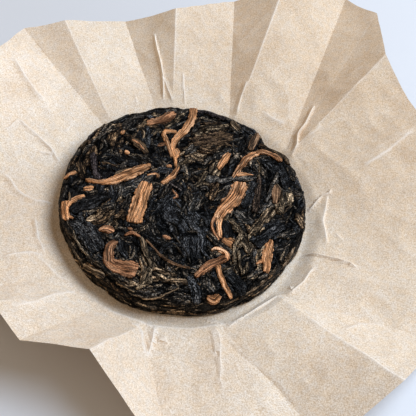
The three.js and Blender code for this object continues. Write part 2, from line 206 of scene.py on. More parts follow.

# Leaves that stand out by colour: places on the map with the width there, rise off the core, look.
# Most routes here and in the next two tables were traced by eye on enlarged crops of the photo and
# turned into millimetres by scratch programs. The rest were typed.
BUDS = (
    ([(-3.4, 52, 3.9), (-3.0, 44.8, 3.8), (-3.5, 40.9, 3.7), (-4.4, 37.4, 3.7), (-5.9, 33.7, 3.7),
      (-7.4, 30.5, 3.6), (-8.6, 27.5, 3.2), (-8.8, 24, 2.8), (-8, 21.1, 2.5), (-7, 18.4, 2),
      (-6.2, 15.6, 1.5), (-5.7, 13, 1.2)], 1.6, GOLD),
    ([(-8.7, 34, 2), (-11.3, 33.8, 2.3), (-13.4, 33, 2.5), (-13.9, 31.1, 2.3), (-12.7, 28.6, 2.5),
      (-11.4, 26.2, 2.3), (-10.2, 23.4, 2.2), (-9, 20.6, 1.9), (-8, 18.2, 1.5)], 1.3, GOLD),
    ([(-7.4, 23.5, 1.8), (-6.2, 21.9, 2.5), (-6, 19.7, 2.4), (-6.5, 17.7, 1.7)], 1.2, GOLD),
    ([(-15.3, 23.6, 1.3), (-13.8, 24.4, 1.8), (-12.2, 25.2, 1.4)], 1.2, RUST),
    ([(-42.4, -1.7, 1.4), (-39.7, -1.7, 2.2), (-36.9, -1.8, 2.8), (-34.3, -1.4, 3.4), (-31.8, -0.2, 3.8),
      (-29.3, 1.3, 4.5), (-26.8, 3.1, 4.8), (-24.3, 5.1, 5.0), (-21.5, 7.5, 4.6), (-18.6, 9.7, 3.7),
      (-16.1, 11.3, 2.4)], 2.4, GOLD),
    ([(-16.9, 6, 0.9), (-14.8, 7, 1.2), (-13.5, 7.6, 1.5), (-12.5, 7.1, 1.6), (-12.4, 5.6, 1.3)], 1.2, GOLD),
    ([(-15.4, 8.7, 0.8), (-14.1, 9.6, 1.2), (-13, 10.2, 0.9)], 1.1, TAN),
    ([(-16.6, 1.4, 5.9), (-17.1, -1.7, 6.6), (-17.3, -5.7, 6.8), (-17.6, -9.9, 6.6), (-17.9, -13.9, 6.7),
      (-18.1, -17.5, 6.7), (-18.4, -20.4, 6.5)], 2.0, GOLD),
    ([(-4.7, 13.6, 1.9), (-5.0, 11.8, 2.3), (-5.8, 9.3, 2.6), (-6.9, 6.6, 2.8), (-8.5, 4.3, 2.6),
      (-10, 2.3, 1.9)], 1.5, GOLD),
    ([(-31.7, 27, 1.5), (-31.5, 28, 2.3), (-31.1, 29, 1.5)], 1.3, GOLD),
    ([(-28.7, 17.3, 1.5), (-27.5, 16.8, 2.4), (-26.5, 16.4, 1.5)], 1.3, GOLD),
    ([(-9.7, 12.4, 1.5), (-8.7, 12.8, 2), (-7.7, 13.2, 1.5)], 1.2, GOLD),
    ([(-52.5, -0.9, 2), (-50.8, 0.1, 2.6), (-49, 1.1, 2.5), (-47.6, 1.9, 1.8)], 1.4, GOLD),
    ([(-42.3, -6.6, 1.6), (-41, -6, 2.9), (-39.6, -5.6, 3), (-38.3, -5.1, 1.8)], 1.3, GOLD),
    ([(-45.9, -16.9, 1.8), (-45.5, -14.1, 2.4), (-44.2, -12.2, 2.7), (-42.4, -11.1, 2.4),
      (-40.7, -9.9, 1.2)], 1.2, GOLD),
    ([(-47.5, -9.5, 0.8), (-46.4, -12, 1.2), (-45.9, -14.4, 1.3)], 1.2, TAN),
    ([(-48, -14.5, 2.8), (-47, -17.3, 3.2), (-46.3, -19.6, 3), (-45.5, -21.7, 2.6), (-44.9, -23.3, 1.6)],
     1.5, GOLD),
    ([(-46, -19.7, 1.4), (-44.2, -21.5, 1.3), (-42.5, -22, 0.9)], 1.2, GOLD),
    ([(-22.8, 36.4, 2.6), (-19.5, 37.8, 4.2), (-16.1, 39.8, 4.8), (-13.2, 42.4, 4.6),
      (-11.2, 45.2, 3.2)], 1.2, dict(ink=0.84, thread=0.6)),
    ([(-27.8, 25.1, 2.2), (-24.8, 23.1, 3.8), (-21.9, 20.9, 3.9), (-19.4, 18.3, 2.5)], 1.2, UMBER),
    ([(-26.6, 24, 0.9), (-23.4, 21.9, 1.3), (-20.6, 19.4, 1.1)], 1.6, RUST),
    ([(16.5, 26.1, 2.4), (15.5, 23.9, 3.5), (14.5, 21.2, 3.3), (13.8, 18.6, 3),
      (13.2, 16.1, 2.1)], 1.6, GOLD),
    ([(39.8, 26.7, 1.6), (37.8, 28.8, 2.7), (35.8, 30.7, 3.3), (33.7, 31.6, 3.4), (31.7, 32, 3.3),
      (30, 31.2, 2.4)], 1.5, dict(ink=0.93, thread=0.7)),
    ([(31.3, 32.1, 2.4), (28.5, 29.6, 3.3), (26.1, 26.2, 3.2), (23.7, 21.9, 2.7), (21.6, 17.6, 2.2),
      (20.1, 14.4, 1.8), (19.4, 11.6, 1.3)], 1.7, dict(ink=0.95, thread=0.9)),
    ([(-30.6, 2.9, 1.5), (-29, 4.9, 3), (-26.7, 6.4, 3.5), (-24.2, 7.6, 2.7), (-22.2, 8.6, 1.5)], 1.0, TAN),
    ([(21.1, 13.8, 1.8), (22.8, 14.8, 3), (24.8, 15, 2.4), (26.8, 15.2, 1.6), (28.3, 15.4, 1)], 1.2, GOLD),
    ([(23.1, 10.1, 7), (22.8, 7.6, 7), (22.2, 4.3, 6.9), (20.8, 0.4, 6.7), (18.3, -4, 6.4), (16.7, -7.8, 5.2),
      (15.5, -10.9, 3.3)], 1.6, dict(ink=0.93, thread=0.7)),
    ([(14.8, -9.6, 1.9), (14, -12, 1.5), (13.8, -14.6, 1.3), (14.6, -17.3, 1.3), (15.9, -19.6, 1.3),
      (17.6, -21.7, 1.2)], 1.3, RUST),
    ([(16.8, -10.2, 3.2), (16.6, -13.1, 2.8), (16.8, -15.6, 2.5), (17.4, -18.3, 2.4), (18.1, -20.9, 1.6)],
     1.4, GOLD),
    ([(19.5, -21.2, 2.7), (21.3, -21.9, 4.2), (23.4, -22.3, 4.4)], 1.3, GOLD),
    ([(10.6, -40.6, 1.8), (12, -38.2, 3.3), (14.6, -35.3, 4), (17.3, -32.7, 4), (19.9, -30.6, 3.7),
      (21.5, -29.5, 2.7)], 1.9, dict(ink=0.86, thread=0.5)),
    ([(21.7, -30.6, 2), (21.7, -28.5, 2.5), (20.4, -26.9, 2.9), (18.3, -26.2, 2.7), (16.4, -26.3, 2.1),
      (15.1, -27.3, 1.4)], 1.8, dict(ink=0.93, thread=0.9)),
    ([(18.9, -34, 2.3), (19.6, -36.7, 2.3), (20.7, -39.1, 2.3), (22.2, -41.4, 2.3), (23.5, -43.4, 2.2),
      (24.6, -44.8, 2.1), (25.7, -46.2, 1.5)], 1.7, GOLD),
    ([(16.1, -48.1, 1.8), (17.6, -48.3, 3.2), (19.1, -48.2, 3.6), (20.2, -47, 2.8), (20.7, -46.3, 1.8)],
     2.4, GOLD),
    ([(39.4, -17.1, 1.8), (39.1, -19.4, 3.2), (38.7, -22, 4.1), (38.4, -24.8, 4.6), (38.2, -27.6, 4.4),
      (38.4, -30, 3.6), (38.2, -32.4, 3.3)], 1.5, GOLD),
    ([(36.8, -27.8, 1.9), (35.3, -28.8, 1.5), (34, -29.8, 0.9)], 1.2, GOLD),
    ([(38.9, 12.5, 2.3), (38.6, 9.3, 4), (38.7, 5.9, 4), (38.6, 1.9, 2.3)], 1.1, dict(ink=0.75, thread=0.3)),
    ([(27.6, 42, 2), (27.9, 39.3, 3.6), (27.4, 36.6, 4.6), (27, 33.9, 4.2), (26.7, 31.6, 2.8)], 1.7,
     dict(ink=0.74, thread=0.7)),
    ([(15.6, 46.5, 2.4), (17.3, 44.6, 3.6), (19.7, 42.5, 2.8)], 1.2, TAN),
    ([(-22.4, -30.2, 1.6), (-24, -31.4, 3.5), (-25, -33.2, 4.5), (-25.1, -35.5, 4.6), (-24.7, -37.8, 4.2),
      (-24, -40, 3)], 1.5, dict(ink=0.82, thread=0.5)),
    ([(-24.8, -38.2, 4.2), (-23.1, -40.4, 5.4), (-20.5, -41.4, 6.3), (-17.6, -41.6, 6.8), (-15.1, -41.6, 7.2),
      (-12.4, -41.6, 6.6)], 1.7, dict(ink=0.85, thread=0.4)),
    ([(-31.3, -26.6, 1.5), (-30, -25.7, 2.9), (-28.2, -25.3, 3.5), (-26.6, -25.4, 3.2), (-25.2, -25.7, 1.7)],
     1.2, RUST),
    ([(-20.6, -26.4, 0.8), (-18.9, -25.3, 1.7), (-17.3, -24.8, 1.8), (-15.7, -25.3, 1.3),
      (-14.1, -26.3, 0.8)], 1.3, RUST),
    ([(-19.8, -22.7, 1), (-18.9, -22.8, 1.6), (-17.8, -23.1, 1)], 1.2, RUST),
    ([(-5.1, -23.6, 1.3), (-3.7, -23.7, 2.2), (-1.9, -24.9, 1.4)], 1.2, RUST),
    ([(-35.1, -42.2, 2.3), (-30.6, -43.6, 2.8), (-27, -44.9, 2.8), (-24.7, -46, 1.9)], 1.2, TAN),
    ([(39.4, -33.2, 1.1), (42, -31.2, 1.3), (43.7, -29.2, 0.9)], 1.2, TAN),
    ([(-24.6, 32.5, 1), (-23.4, 31, 1.6), (-22.8, 28.8, 1.5), (-22.7, 26.6, 0.9)], 1.1, TAN),
    ([(-45.5, 27.5, 1.2), (-44.8, 31, 1.8), (-44.2, 33.5, 1.2)], 1.0, TAN),
    ([(-13.7, -26.7, 1.4), (-12.1, -29.2, 2.4), (-11.2, -31.9, 2.3), (-9.8, -34.4, 1.7)], 1.5, TAN),
    ([(-28.7, -18.2, 0.8), (-27.3, -15.7, 1.3)], 1.1, TAN),
)

# Dull leaves with a shape of their own, given in the same way.
DULL_LEAVES = (
    ([(-0.2, 18, 1.8), (-2.7, 16.4, 1.8), (-4.4, 14.7, 1.6), (-5.1, 12.1, 1.6)], 1.5, GREY),
    ([(-42.2, 13.3, 3.4), (-41.2, 9.5, 3.7), (-40, 5.5, 3.6), (-38.5, 1.6, 3.4),
      (-37.9, -0.4, 2.8)], 1.5, PLUM),
    ([(-44.2, 25.6, 1.8), (-44.9, 23.4, 2.4), (-45.8, 21, 1.8)], 1.2, PLUM),
    ([(13.2, 8, 2), (17.2, 10.4, 2.9), (21.6, 11.9, 3), (25.8, 13.2, 2.9), (29, 14.9, 2.4),
      (30.2, 17.3, 1.7)], 2.4, DUSK),
    ([(-1.3, 50.4, 3), (1.8, 50.3, 3.8), (5.2, 49.9, 4.2), (8.7, 49.2, 4), (12.5, 48, 3.2)], 0.8, PLUM),
    ([(1.1, 38.4, 1.7), (4.8, 40, 2.3), (8.7, 41.5, 2.3), (11.8, 42.6, 1.7)], 1.2, GREY),
    ([(1.1, 41.6, 1.1), (6.2, 42.8, 1.5), (11, 43.7, 1.2)], 1.2, UMBER),
    ([(-14.4, 35.5, 1.3), (-11.7, 38.4, 2.3), (-8.8, 41.6, 2.4), (-7, 45.5, 1.8)], 1.2, GREY),
    ([(-0.5, 29, 5), (5, 32, 7.5), (11, 34.5, 7.8), (17, 37, 5)], 0.8, dict(ink=0.45, thread=0.15)),
    ([(37.8, -0.7, 3), (36.2, -4.3, 4.9), (34.5, -8.4, 5.3), (32.9, -12.6, 4.9), (31.5, -16.7, 3.6)], 1.4,
     dict(ink=0.62, thread=0.8)),
    ([(25.5, -13.3, 1.4), (26.5, -16.2, 1.8), (25, -20.6, 1.9), (24.2, -24.6, 1.7), (24.9, -28.9, 1.8),
      (25.4, -31.9, 1.4)], 1.4, GREY),
    ([(26.1, -24.9, 1.3), (27.2, -30.8, 1.8), (28.7, -36, 1.3)], 1.2, GREY),
    ([(19.7, -35.6, 1), (22.1, -34.5, 1.6), (25.4, -31.9, 1.3)], 1.2, GREY),
    ([(-14.6, -26.3, 1.7), (-12.7, -28.2, 2.6), (-11.4, -31.4, 2.7), (-9.7, -34.5, 2.5), (-7.8, -37, 2.5),
      (-7.4, -39.8, 2.4), (-8.3, -43.4, 2.2), (-9, -46.6, 1.8), (-10.9, -49.1, 1.2)], 1.4, GREY),
    ([(-12, -36.7, 0.9), (-10.4, -39.8, 1.3), (-10, -43.7, 1.3), (-10.1, -47, 0.9)], 1.3, TAN),
    ([(-44, -19, 4.6), (-38.5, -13.5, 6.6), (-31, -7.5, 4.4)], 1.0, dict(ink=0.03, thread=0.15)),
    ([(-42.5, -22.5, 6), (-36, -28, 8.8), (-28.5, -35.5, 6)], 1.0, dict(ink=0.03, thread=0.15)),
    ([(42, -8, 6), (37, -14, 8), (32, -21, 6.5)], 0.9, BLUE),
    ([(23.5, -37.5, 4), (28, -40.5, 5.5), (30.5, -44, 4.2)], 1.1, BLUE),
    ([(22.4, -5.6, 2.6), (25, -7.5, 5.3), (27.9, -9.3, 5.7), (29.9, -10.8, 2.6)], 0.9, DUSK),
    ([(29.4, 11.3, 2.3), (28.5, 7.5, 3.9), (27.4, 3.3, 4.4), (26.2, -0.4, 3.8),
      (25.3, -3.3, 2.3)], 1.3, BLUE),
    ([(31.1, 14.8, 1.9), (30.9, 10.6, 2.7), (30.8, 6.5, 3.1), (30.7, 2, 3.2), (30.4, -1.4, 3.4),
      (30.2, -4.3, 2.2)], 1.6, dict(ink=0.4, thread=0.4)),
    ([(38.6, 19.2, 1.2), (37.3, 14.1, 2.3), (36.4, 9.8, 2.3), (35.6, 5.1, 1.9), (34.4, 1.4, 1.1)], 1.4, DUSK),
    ([(40.6, 18.1, 1.7), (41.8, 14.7, 3.4), (43, 10.9, 2.5)], 1.1, BLUE),
    ([(48, -1, 1.6), (49.1, -3.2, 3), (50.1, -5.4, 3.7), (51.2, -7.1, 2.7)], 1.2, dict(ink=0.48, thread=0.5)),
    ([(12.9, -19.5, 2.2), (16.3, -22.5, 3.4), (20, -24.7, 3.4), (23.3, -27.5, 3.3)], 1.7, BLACK),
    ([(16.9, -12.6, 3.5), (19.4, -14.6, 6), (20.3, -18.6, 5), (18.5, -20.2, 3.3)], 1.0, BLUE),
    ([(-7.3, 3.8, 1.9), (-4.5, 2.7, 2.7), (-1.2, 1.1, 2.5)], 1.2, dict(ink=0.3, thread=0.5)),
    ([(6.2, 3.3, 1.3), (8.7, 4.5, 1.8), (9.4, 2.7, 1.2)], 1.4, DUSK),
    ([(8, -41, 3), (11, -46, 4.6), (13, -51, 3.4)], 1.1, BLUE),
    ([(-22, -29, 2), (-20.5, -33, 3), (-17, -37, 2.4)], 1.1, BLUE),
    ([(31, 36, 2.5), (34.6, 34.9, 4), (38, 33, 4.8), (41, 30, 4.2), (43.5, 26.5, 3)], 1.6, UMBER),
    ([(13.7, 7.9, 1.6), (12.6, 4.5, 2.7), (11.7, 1, 2.7), (11.1, -1.5, 1.7)], 1.3, UMBER),
    ([(29.8, 26, 1.2), (30.7, 22.6, 1.5), (30.9, 18.5, 1.5), (30.2, 14.3, 1)], 1.4, GREY),
    ([(-46.8, 7.5, 3), (-46.3, 4.8, 3.6), (-44.8, 0.8, 3), (-43.7, -1.8, 1.8)], 1.1, UMBER),
    ([(-37.1, -22.8, 1.8), (-35.1, -21.1, 3.4), (-32.9, -19.4, 3), (-31.1, -17.4, 1.5)], 1.2, TAN),
    ([(-36.1, -23.9, 1.5), (-33.3, -22.7, 2.8), (-30.7, -21.3, 2.4), (-29.3, -19.4, 1.2)], 1.0, UMBER),
)

STEMS = (
    ([(-5.6, 20.5, 1.1), (-3.6, 21.9, 1.2), (0.1, 24, 1)], 1.2, TAN),
    ([(-2.9, 19.5, 0.8), (0, 21.4, 0.9)], 1.1, TAN),
    ([(-38.6, 9.1, 1.1), (-35.4, 8.8, 1.4), (-32, 8.4, 1.4), (-29.6, 9, 1)], 1.2, UMBER),
    ([(-43.3, -25.5, 0.9), (-39.8, -31.5, 1), (-36.2, -35.7, 1.1), (-32, -38.9, 1), (-27.9, -41.8, 1),
      (-23.9, -43.8, 1), (-20.4, -46, 1), (-15.5, -48.4, 0.9), (-11.3, -49.8, 0.8)], 1.2, GREY),
    ([(30, -45.6, 1.1), (33.8, -41.9, 1.4), (37.5, -38.2, 1.6), (40, -34.3, 1.3)], 1.1, TAN),
    ([(47.9, -23.1, 1), (48.9, -19.8, 1.2), (49.7, -16.8, 0.9)], 1.0, TAN),
    ([(-11.3, -27.2, 0.9), (-9.2, -28.8, 1.1), (-6.9, -30.7, 1.2), (-4.3, -33, 1.2), (-2.1, -34.6, 1.3),
      (0.6, -36.1, 1.3), (3.2, -36.8, 1.4), (7.9, -37.2, 1.1)], 1.6, dict(ink=0.74, thread=0.2)),
    ([(-3.4, -26, 0.8), (-0.9, -26.9, 0.9), (1.9, -28.9, 0.9), (4.4, -32.5, 0.9),
      (6.8, -35.9, 0.8)], 1.4, GREY),
    ([(-5.3, 0.6, 1.1), (-3.2, -1.3, 1.5), (-2.7, -2.9, 1.2), (-4.2, -4.5, 0.9)], 1.2, RUST),
    ([(37.9, 13.2, 0.8), (40, 11.4, 1), (41.1, 8.9, 1.1), (41.2, 5.4, 1), (40.3, 2.5, 0.9), (39.1, 0.5, 0.6)],
     1.4, TAN),
    ([(39.8, 0.5, 0.6), (41.6, 3.3, 0.7), (43.4, 5.5, 0.8), (46, 7.6, 0.7), (48.8, 9.6, 0.5)], 1.3, TAN),
    ([(42.3, -3.3, 0.5), (43.4, -0.4, 0.7), (45.2, 2.2, 0.7), (46.7, 3.5, 0.5)], 1.2, TAN),
    ([(-1.7, -21.6, 0.6), (1.9, -25.9, 0.7), (5.5, -30.5, 0.8), (7.6, -34.6, 0.6)], 1.3, DUSK),
    ([(-10, -51.6, 0.9), (-6.3, -51.9, 1.1), (-2.1, -51.2, 1.1), (1.3, -49.3, 1.1),
      (5, -46.9, 0.9)], 1.2, TAN),
)

# What the leaves without a route above are like: a place on the map, about how far it reaches, and
# the looks there.
REGIONS = (
    (6, 38, 13, (UMBER, UMBER, BLACK, GREY, DUSK)),
    (-18, 40, 9, (BLACK, GREY, DUSK, UMBER, BLUE)),
    (-40, 24, 9, (UMBER, BLACK, BLACK, TAN)),
    (-44, 10, 7, (UMBER, UMBER, BLACK)),
    (-30, -17, 8, (UMBER, TAN, BLACK, BLACK)),
    (-30, 30, 8, (BLACK, UMBER, DUSK, TAN)),
    (-2, -43, 9, (GREY, TAN, BLACK, TAN, BLACK)),
    (-12, -42, 8, (GREY, BLACK, TAN, BLACK)),
    (34, 6, 11, (DUSK, GREY, DUSK, UMBER, BLUE)),
    (10, 3, 9, (GREY, DUSK, BLACK, UMBER)),
    (26, -14, 9, (DUSK, GREY, GREY, BLUE)),
    (30, -28, 9, (GREY, DUSK, GREY, UMBER)),
    (4, 19, 11, (DUSK, BLACK, UMBER, TAN, GREY)),
)
ELSEWHERE = (BLUE, BLUE, BLACK, BLACK, DUSK)
# The wall's leaves are mostly black: partly their own colour, partly painted shade for the shade on the wall.
ON_THE_WALL_WITH_PAINTED_SHADE = (BLACK, BLACK, BLACK, BLACK, UMBER, TAN)


def trace(route, step):
    """A smooth curve through places (x, y, width): places and unit tangents every step, and widths."""
    p = np.asarray(route, float)
    p = np.vstack([2 * p[0] - p[1], p, 2 * p[-1] - p[-2]])
    t = np.linspace(0, 1, 24, endpoint=False)[:, None]
    pieces = []
    for a, b, c, d in zip(p, p[1:], p[2:], p[3:]):
        pieces.append(
            0.5 * (2 * b + (c - a) * t + (2 * a - 5 * b + 4 * c - d) * t**2 + (3 * b - a - 3 * c + d) * t**3)
        )
    dense = np.vstack([*pieces, p[-2:-1]])
    steps = np.linalg.norm(np.diff(dense[:, :2], axis=0), axis=1)
    reach = np.concatenate([[0], np.cumsum(steps)])
    count = max(4, int(round(reach[-1] / step)) + 1)
    even = np.linspace(0, reach[-1], count)
    x, y, width = (np.interp(even, reach, column) for column in dense.T)
    line = np.stack([x, y], axis=1)
    tangent = np.gradient(line, axis=0)
    tangent /= np.linalg.norm(tangent, axis=1, keepdims=True) + 1e-9
    return line, tangent, np.maximum(width, 0.2)


def empty_bed():
    keys = ("height", *PAINTED)
    bed = {key: np.zeros((BED_CELLS, BED_CELLS), np.float32) for key in keys}
    bed["ink"] += BLACK["ink"]
    return bed


def cells_at(x, y):
    """The row and column of the bed's cell at each place on the map."""
    column = np.clip(np.rint((x + BED_HALF) / BED_STEP), 0, BED_CELLS - 1).astype(int)
    row = np.clip(np.rint((y + BED_HALF) / BED_STEP), 0, BED_CELLS - 1).astype(int)
    return row, column


def running_mean(values, cells):
    """Each value averaged with its neighbours along the first axis."""
    cells = max(1, int(cells))
    padded = np.concatenate([np.repeat(values[:1], cells, 0), values, np.repeat(values[-1:], cells, 0)])
    total = np.cumsum(padded, axis=0)
    return (total[2 * cells :] - total[: -2 * cells]) / (2 * cells)


def torn(u, across, width, seed):
    """Half the width of a leaf with torn edges, at each distance along it and share across it."""
    side = np.where(across < 0, 0.0, 40.0)[None, :]
    bites = noise(u[:, None] / 1.5, side, seed) + 0.7 * noise(u[:, None] / 0.65, side + 3, seed)
    half = width[:, None] / 2
    return np.maximum(half + (0.08 + 0.06 * width[:, None]) * bites, 0.4 * half)


def footprint(route, seed=0):
    """The places on the map that a leaf covers, as rows along it: x, y, distance along, distance across."""
    line, tangent, width = trace(route, PAINT_STEP)
    u = np.arange(len(line)) * PAINT_STEP
    across = np.linspace(-1, 1, max(5, int(1.2 * width.max() / PAINT_STEP) + 1))
    distance = across[None, :] * torn(u, across, width, seed)
    x = line[:, :1] - tangent[:, 1:] * distance
    y = line[:, 1:] + tangent[:, :1] * distance
    return x, y, u, across, distance


def lay_leaf(bed, route, thick, ink, thread, roll=0.0, twist=0.0, wrinkle=0.16):
    """Lays one leaf on the bed. roll turns its section from a flat ribbon to a round stem."""
    seed = int(draws.integers(1 << 20))
    leaf = draws.random()
    x, y, u, across, distance = footprint(route, seed)
    row, column = cells_at(x, y)
    under = bed["height"][row, column]
    rest = running_mean(0.55 * under.mean(axis=1) + 0.45 * under.max(axis=1), 1.6 / PAINT_STEP)
    flat = 1 - np.abs(across) ** 5
    round_ = np.sqrt(np.clip(1 - across**2, 0, 1))
    profile = (1 - roll) * flat + roll * round_
    slant = distance + twist * u[:, None] + 0.35 * noise(u[:, None] / 2.5, distance / 1.1, seed + 3)
    grooves = ridged(u[:, None] / 4.5, slant / 1.2, seed)
    lumps = noise(u[:, None] / 2.8, distance / 2.2, seed + 2)
    height = rest[:, None] * 0.8 + thick * profile[None, :]
    height = height + wrinkle * grooves * (0.4 + 0.6 * profile) + 0.3 * wrinkle * lumps
    bed["height"][row, column] = height
    bed["along"][row, column] = u[:, None] + 40 * leaf
    bed["across"][row, column] = slant + 17 * leaf
    bed["leaf"][row, column] = leaf
    bed["ink"][row, column] = ink
    bed["thread"][row, column] = thread
    bed["wear_and_highlight"][row, column] = np.abs(across) ** 5 * (leaf > 0.5)


def blurred(grid, radius):
    """The grid smoothed by a Gaussian of that radius in millimetres."""
    k = np.fft.fftfreq(grid.shape[0], BED_STEP)
    falloff = np.exp(-2 * (math.pi * radius) ** 2 * (k[:, None] ** 2 + k[None, :] ** 2))
    return np.real(np.fft.ifft2(np.fft.fft2(grid) * falloff))


def named_headings():
    """Places and doubled headings along every route above, for the other leaves to follow."""
    places, headings = [], []
    for route, *_ in (*BUDS, *DULL_LEAVES, *STEMS):
        line, tangent, _ = trace(route, 2.0)
        places.append(line)
        headings.append(2 * np.arctan2(tangent[:, 1], tangent[:, 0]))
    return np.vstack(places), np.concatenate(headings)


FLOW_REACH = 7.0  # how far a named leaf turns its neighbours to its own heading
FLOW_PLACES, FLOW_HEADINGS = named_headings()


def flow_heading(x, y, looseness):
    """A heading that follows the named leaves nearby and, near the rim, the mould's edge."""
    gap = np.hypot(FLOW_PLACES[:, 0] - x, FLOW_PLACES[:, 1] - y)
    weight = np.exp(-((gap / FLOW_REACH) ** 2))
    c = (weight * np.cos(FLOW_HEADINGS)).sum()
    s = (weight * np.sin(FLOW_HEADINGS)).sum()
    rim = 6 * eased(math.hypot(x, y), TOP_REACH - 6, TOP_REACH + 3)
    round_the_rim = 2 * (math.atan2(y, x) + math.pi / 2)
    free = 2 * math.pi * fractal(np.array(x / 17), np.array(y / 17), 2, 5)
    c += rim * math.cos(round_the_rim) + 0.35 * math.cos(free)
    s += rim * math.sin(round_the_rim) + 0.35 * math.sin(free)
    return math.atan2(s, c) / 2 + looseness * draws.normal()


def look_at(x, y):
    """A look for a leaf without a route of its own at that place."""
    looks = ELSEWHERE
    if math.hypot(x, y) > TOP_REACH + 2:
        looks = ON_THE_WALL_WITH_PAINTED_SHADE
    for cx, cy, reach, here in REGIONS:
        if math.hypot(x - cx, y - cy) < reach * draws.uniform(0.7, 1.15):
            looks = here
    return looks[int(draws.integers(len(looks)))]


GOLDEN_ANGLE = 2.39996  # radians
GOLDEN_SHARE = 0.6180339
SPREAD_STEPS = 5


def spread(count, length, width, looseness, bend, limit):
    """Routes and looks for that many leaves, evenly over the map. length and width are low and high."""
    for k in range(count):
        reach = limit * math.sqrt((k + 0.5) / count)
        around = k * GOLDEN_ANGLE + 0.5 * draws.normal()
        x, y = reach * math.cos(around), reach * math.sin(around)
        long = draws.uniform(*length)
        heading = flow_heading(x, y, looseness * (0.35 if reach > TOP_REACH else 1))
        curl = bend * draws.normal()
        if reach > TOP_REACH:
            curl = math.copysign(long / reach, math.cos(heading - around - math.pi / 2))
        share = np.linspace(0, 1, SPREAD_STEPS + 1)
        ways = heading + curl * (share - 0.5)
        move = np.stack([np.cos(ways), np.sin(ways)], axis=1) * long / SPREAD_STEPS
        places = np.array([x, y]) + np.cumsum(move, axis=0) - move.sum(axis=0) / 2
        body = draws.uniform(*width) * (0.35 + 0.65 * np.sin(math.pi * share) ** 0.6)
        yield np.column_stack([places, body]), look_at(x, y)


def scatter(bed, count, length, width, thick, looseness, bend, **form):
    """Lays that many leaves evenly over the bed."""
    for route, look in spread(count, length, width, looseness, bend, FOOT_REACH):
        lay_leaf(bed, route, draws.uniform(*thick), **look, **form)


# The bed's layers, from the bottom up.
SCRAPS = dict(count=900, length=(4, 10), width=(0.9, 2.2), thick=(0.3, 0.8), looseness=0.9, bend=0.5)
BROAD = dict(count=300, length=(7, 17), width=(2.4, 5.6), thick=(0.35, 0.9), looseness=0.5, bend=0.8)
ROLLED = dict(count=170, length=(4, 13), width=(1.0, 2.2), thick=(0.4, 0.8), looseness=0.6, bend=1.0)
FINE = dict(count=150, length=(4, 11), width=(0.5, 1.1), thick=(0.3, 0.6), looseness=0.8, bend=1.2)
CENTRE_LEAF = ((-9, -5, 8), (0, -12, 14), (7, -21, 14), (8, -32, 8))  # one wide leaf, flush, in the middle
CENTRE_THICKNESS = 0.6

SWELL_RADIUS = 3.2  # unevenness broader than this is taken down
SWELL_SHARE = 0.85
BED_RELIEF = 0.42  # standard deviation of the bed's height before its peaks level off
PEAK = 0.35  # above this height, the bed's peaks level off
PEAK_ROOM = 0.5
BED_LIFT = 0.45  # raises the whole bed off the core's surface


def make_bed():
    """The bed's painted numbers, and its height, made into the relief that shows."""
    bed = empty_bed()
    scatter(bed, **SCRAPS)
    scatter(bed, **BROAD, wrinkle=0.22)
    lay_leaf(bed, CENTRE_LEAF, CENTRE_THICKNESS, **BLUE, wrinkle=0.2)
    scatter(bed, **ROLLED, roll=0.6, twist=0.25, wrinkle=0.2)
    scatter(bed, **FINE, roll=0.9)
    height = bed["height"]
    height = height - SWELL_SHARE * blurred(height, SWELL_RADIUS)
    height = height - height.mean()
    height = height / height.std() * BED_RELIEF
    height = np.where(height > PEAK, PEAK + PEAK_ROOM * np.tanh((height - PEAK) / PEAK_ROOM), height)
    covered = np.zeros_like(height)
    for route, *_ in (*BUDS, *DULL_LEAVES):
        x, y, *_ = footprint(route)
        covered[cells_at(x, y)] = 1
    bed["covered"] = blurred(covered, 0.3)
    bed["calm"] = blurred(height, 0.8) + BED_LIFT
    bed["height"] = height + BED_LIFT - 0.5 * bed["covered"]
    # Painted shade: the number below is lower where the bed lies below its neighbours and along the seams
    # between leaves, and the leaf material darkens the colour there.
    local = height - blurred(height, 0.7)
    leaf = bed["leaf"]
    seam_shadow = (leaf != np.roll(leaf, 1, 0)) | (leaf != np.roll(leaf, 1, 1))
    seam_shadow = np.clip(2.2 * blurred(seam_shadow.astype(float), 0.3), 0, 1)
    bed["unshaded"] = eased(local, -0.4, 0.1) * (1 - 0.75 * seam_shadow)
    # Paler fibre on the bed's crests and on some leaves' edges: partly wear, partly a painted highlight where
    # they catch the light.
    bed["wear_and_highlight"] = np.maximum(0.7 * bed["wear_and_highlight"], eased(local, 0.14, 0.42))
    return bed


def on_bed(bed, key, x, y):
    """The bed's number at places on the map, smoothly between its cells."""
    fx = np.clip((x + BED_HALF) / BED_STEP, 0, BED_CELLS - 1.001)
    fy = np.clip((y + BED_HALF) / BED_STEP, 0, BED_CELLS - 1.001)
    ix, iy = fx.astype(int), fy.astype(int)
    tx, ty = fx - ix, fy - iy
    grid = bed[key]
    low = grid[iy, ix] * (1 - tx) + grid[iy, ix + 1] * tx
    high = grid[iy + 1, ix] * (1 - tx) + grid[iy + 1, ix + 1] * tx
    return low * (1 - ty) + high * ty


BED_GRID = 310


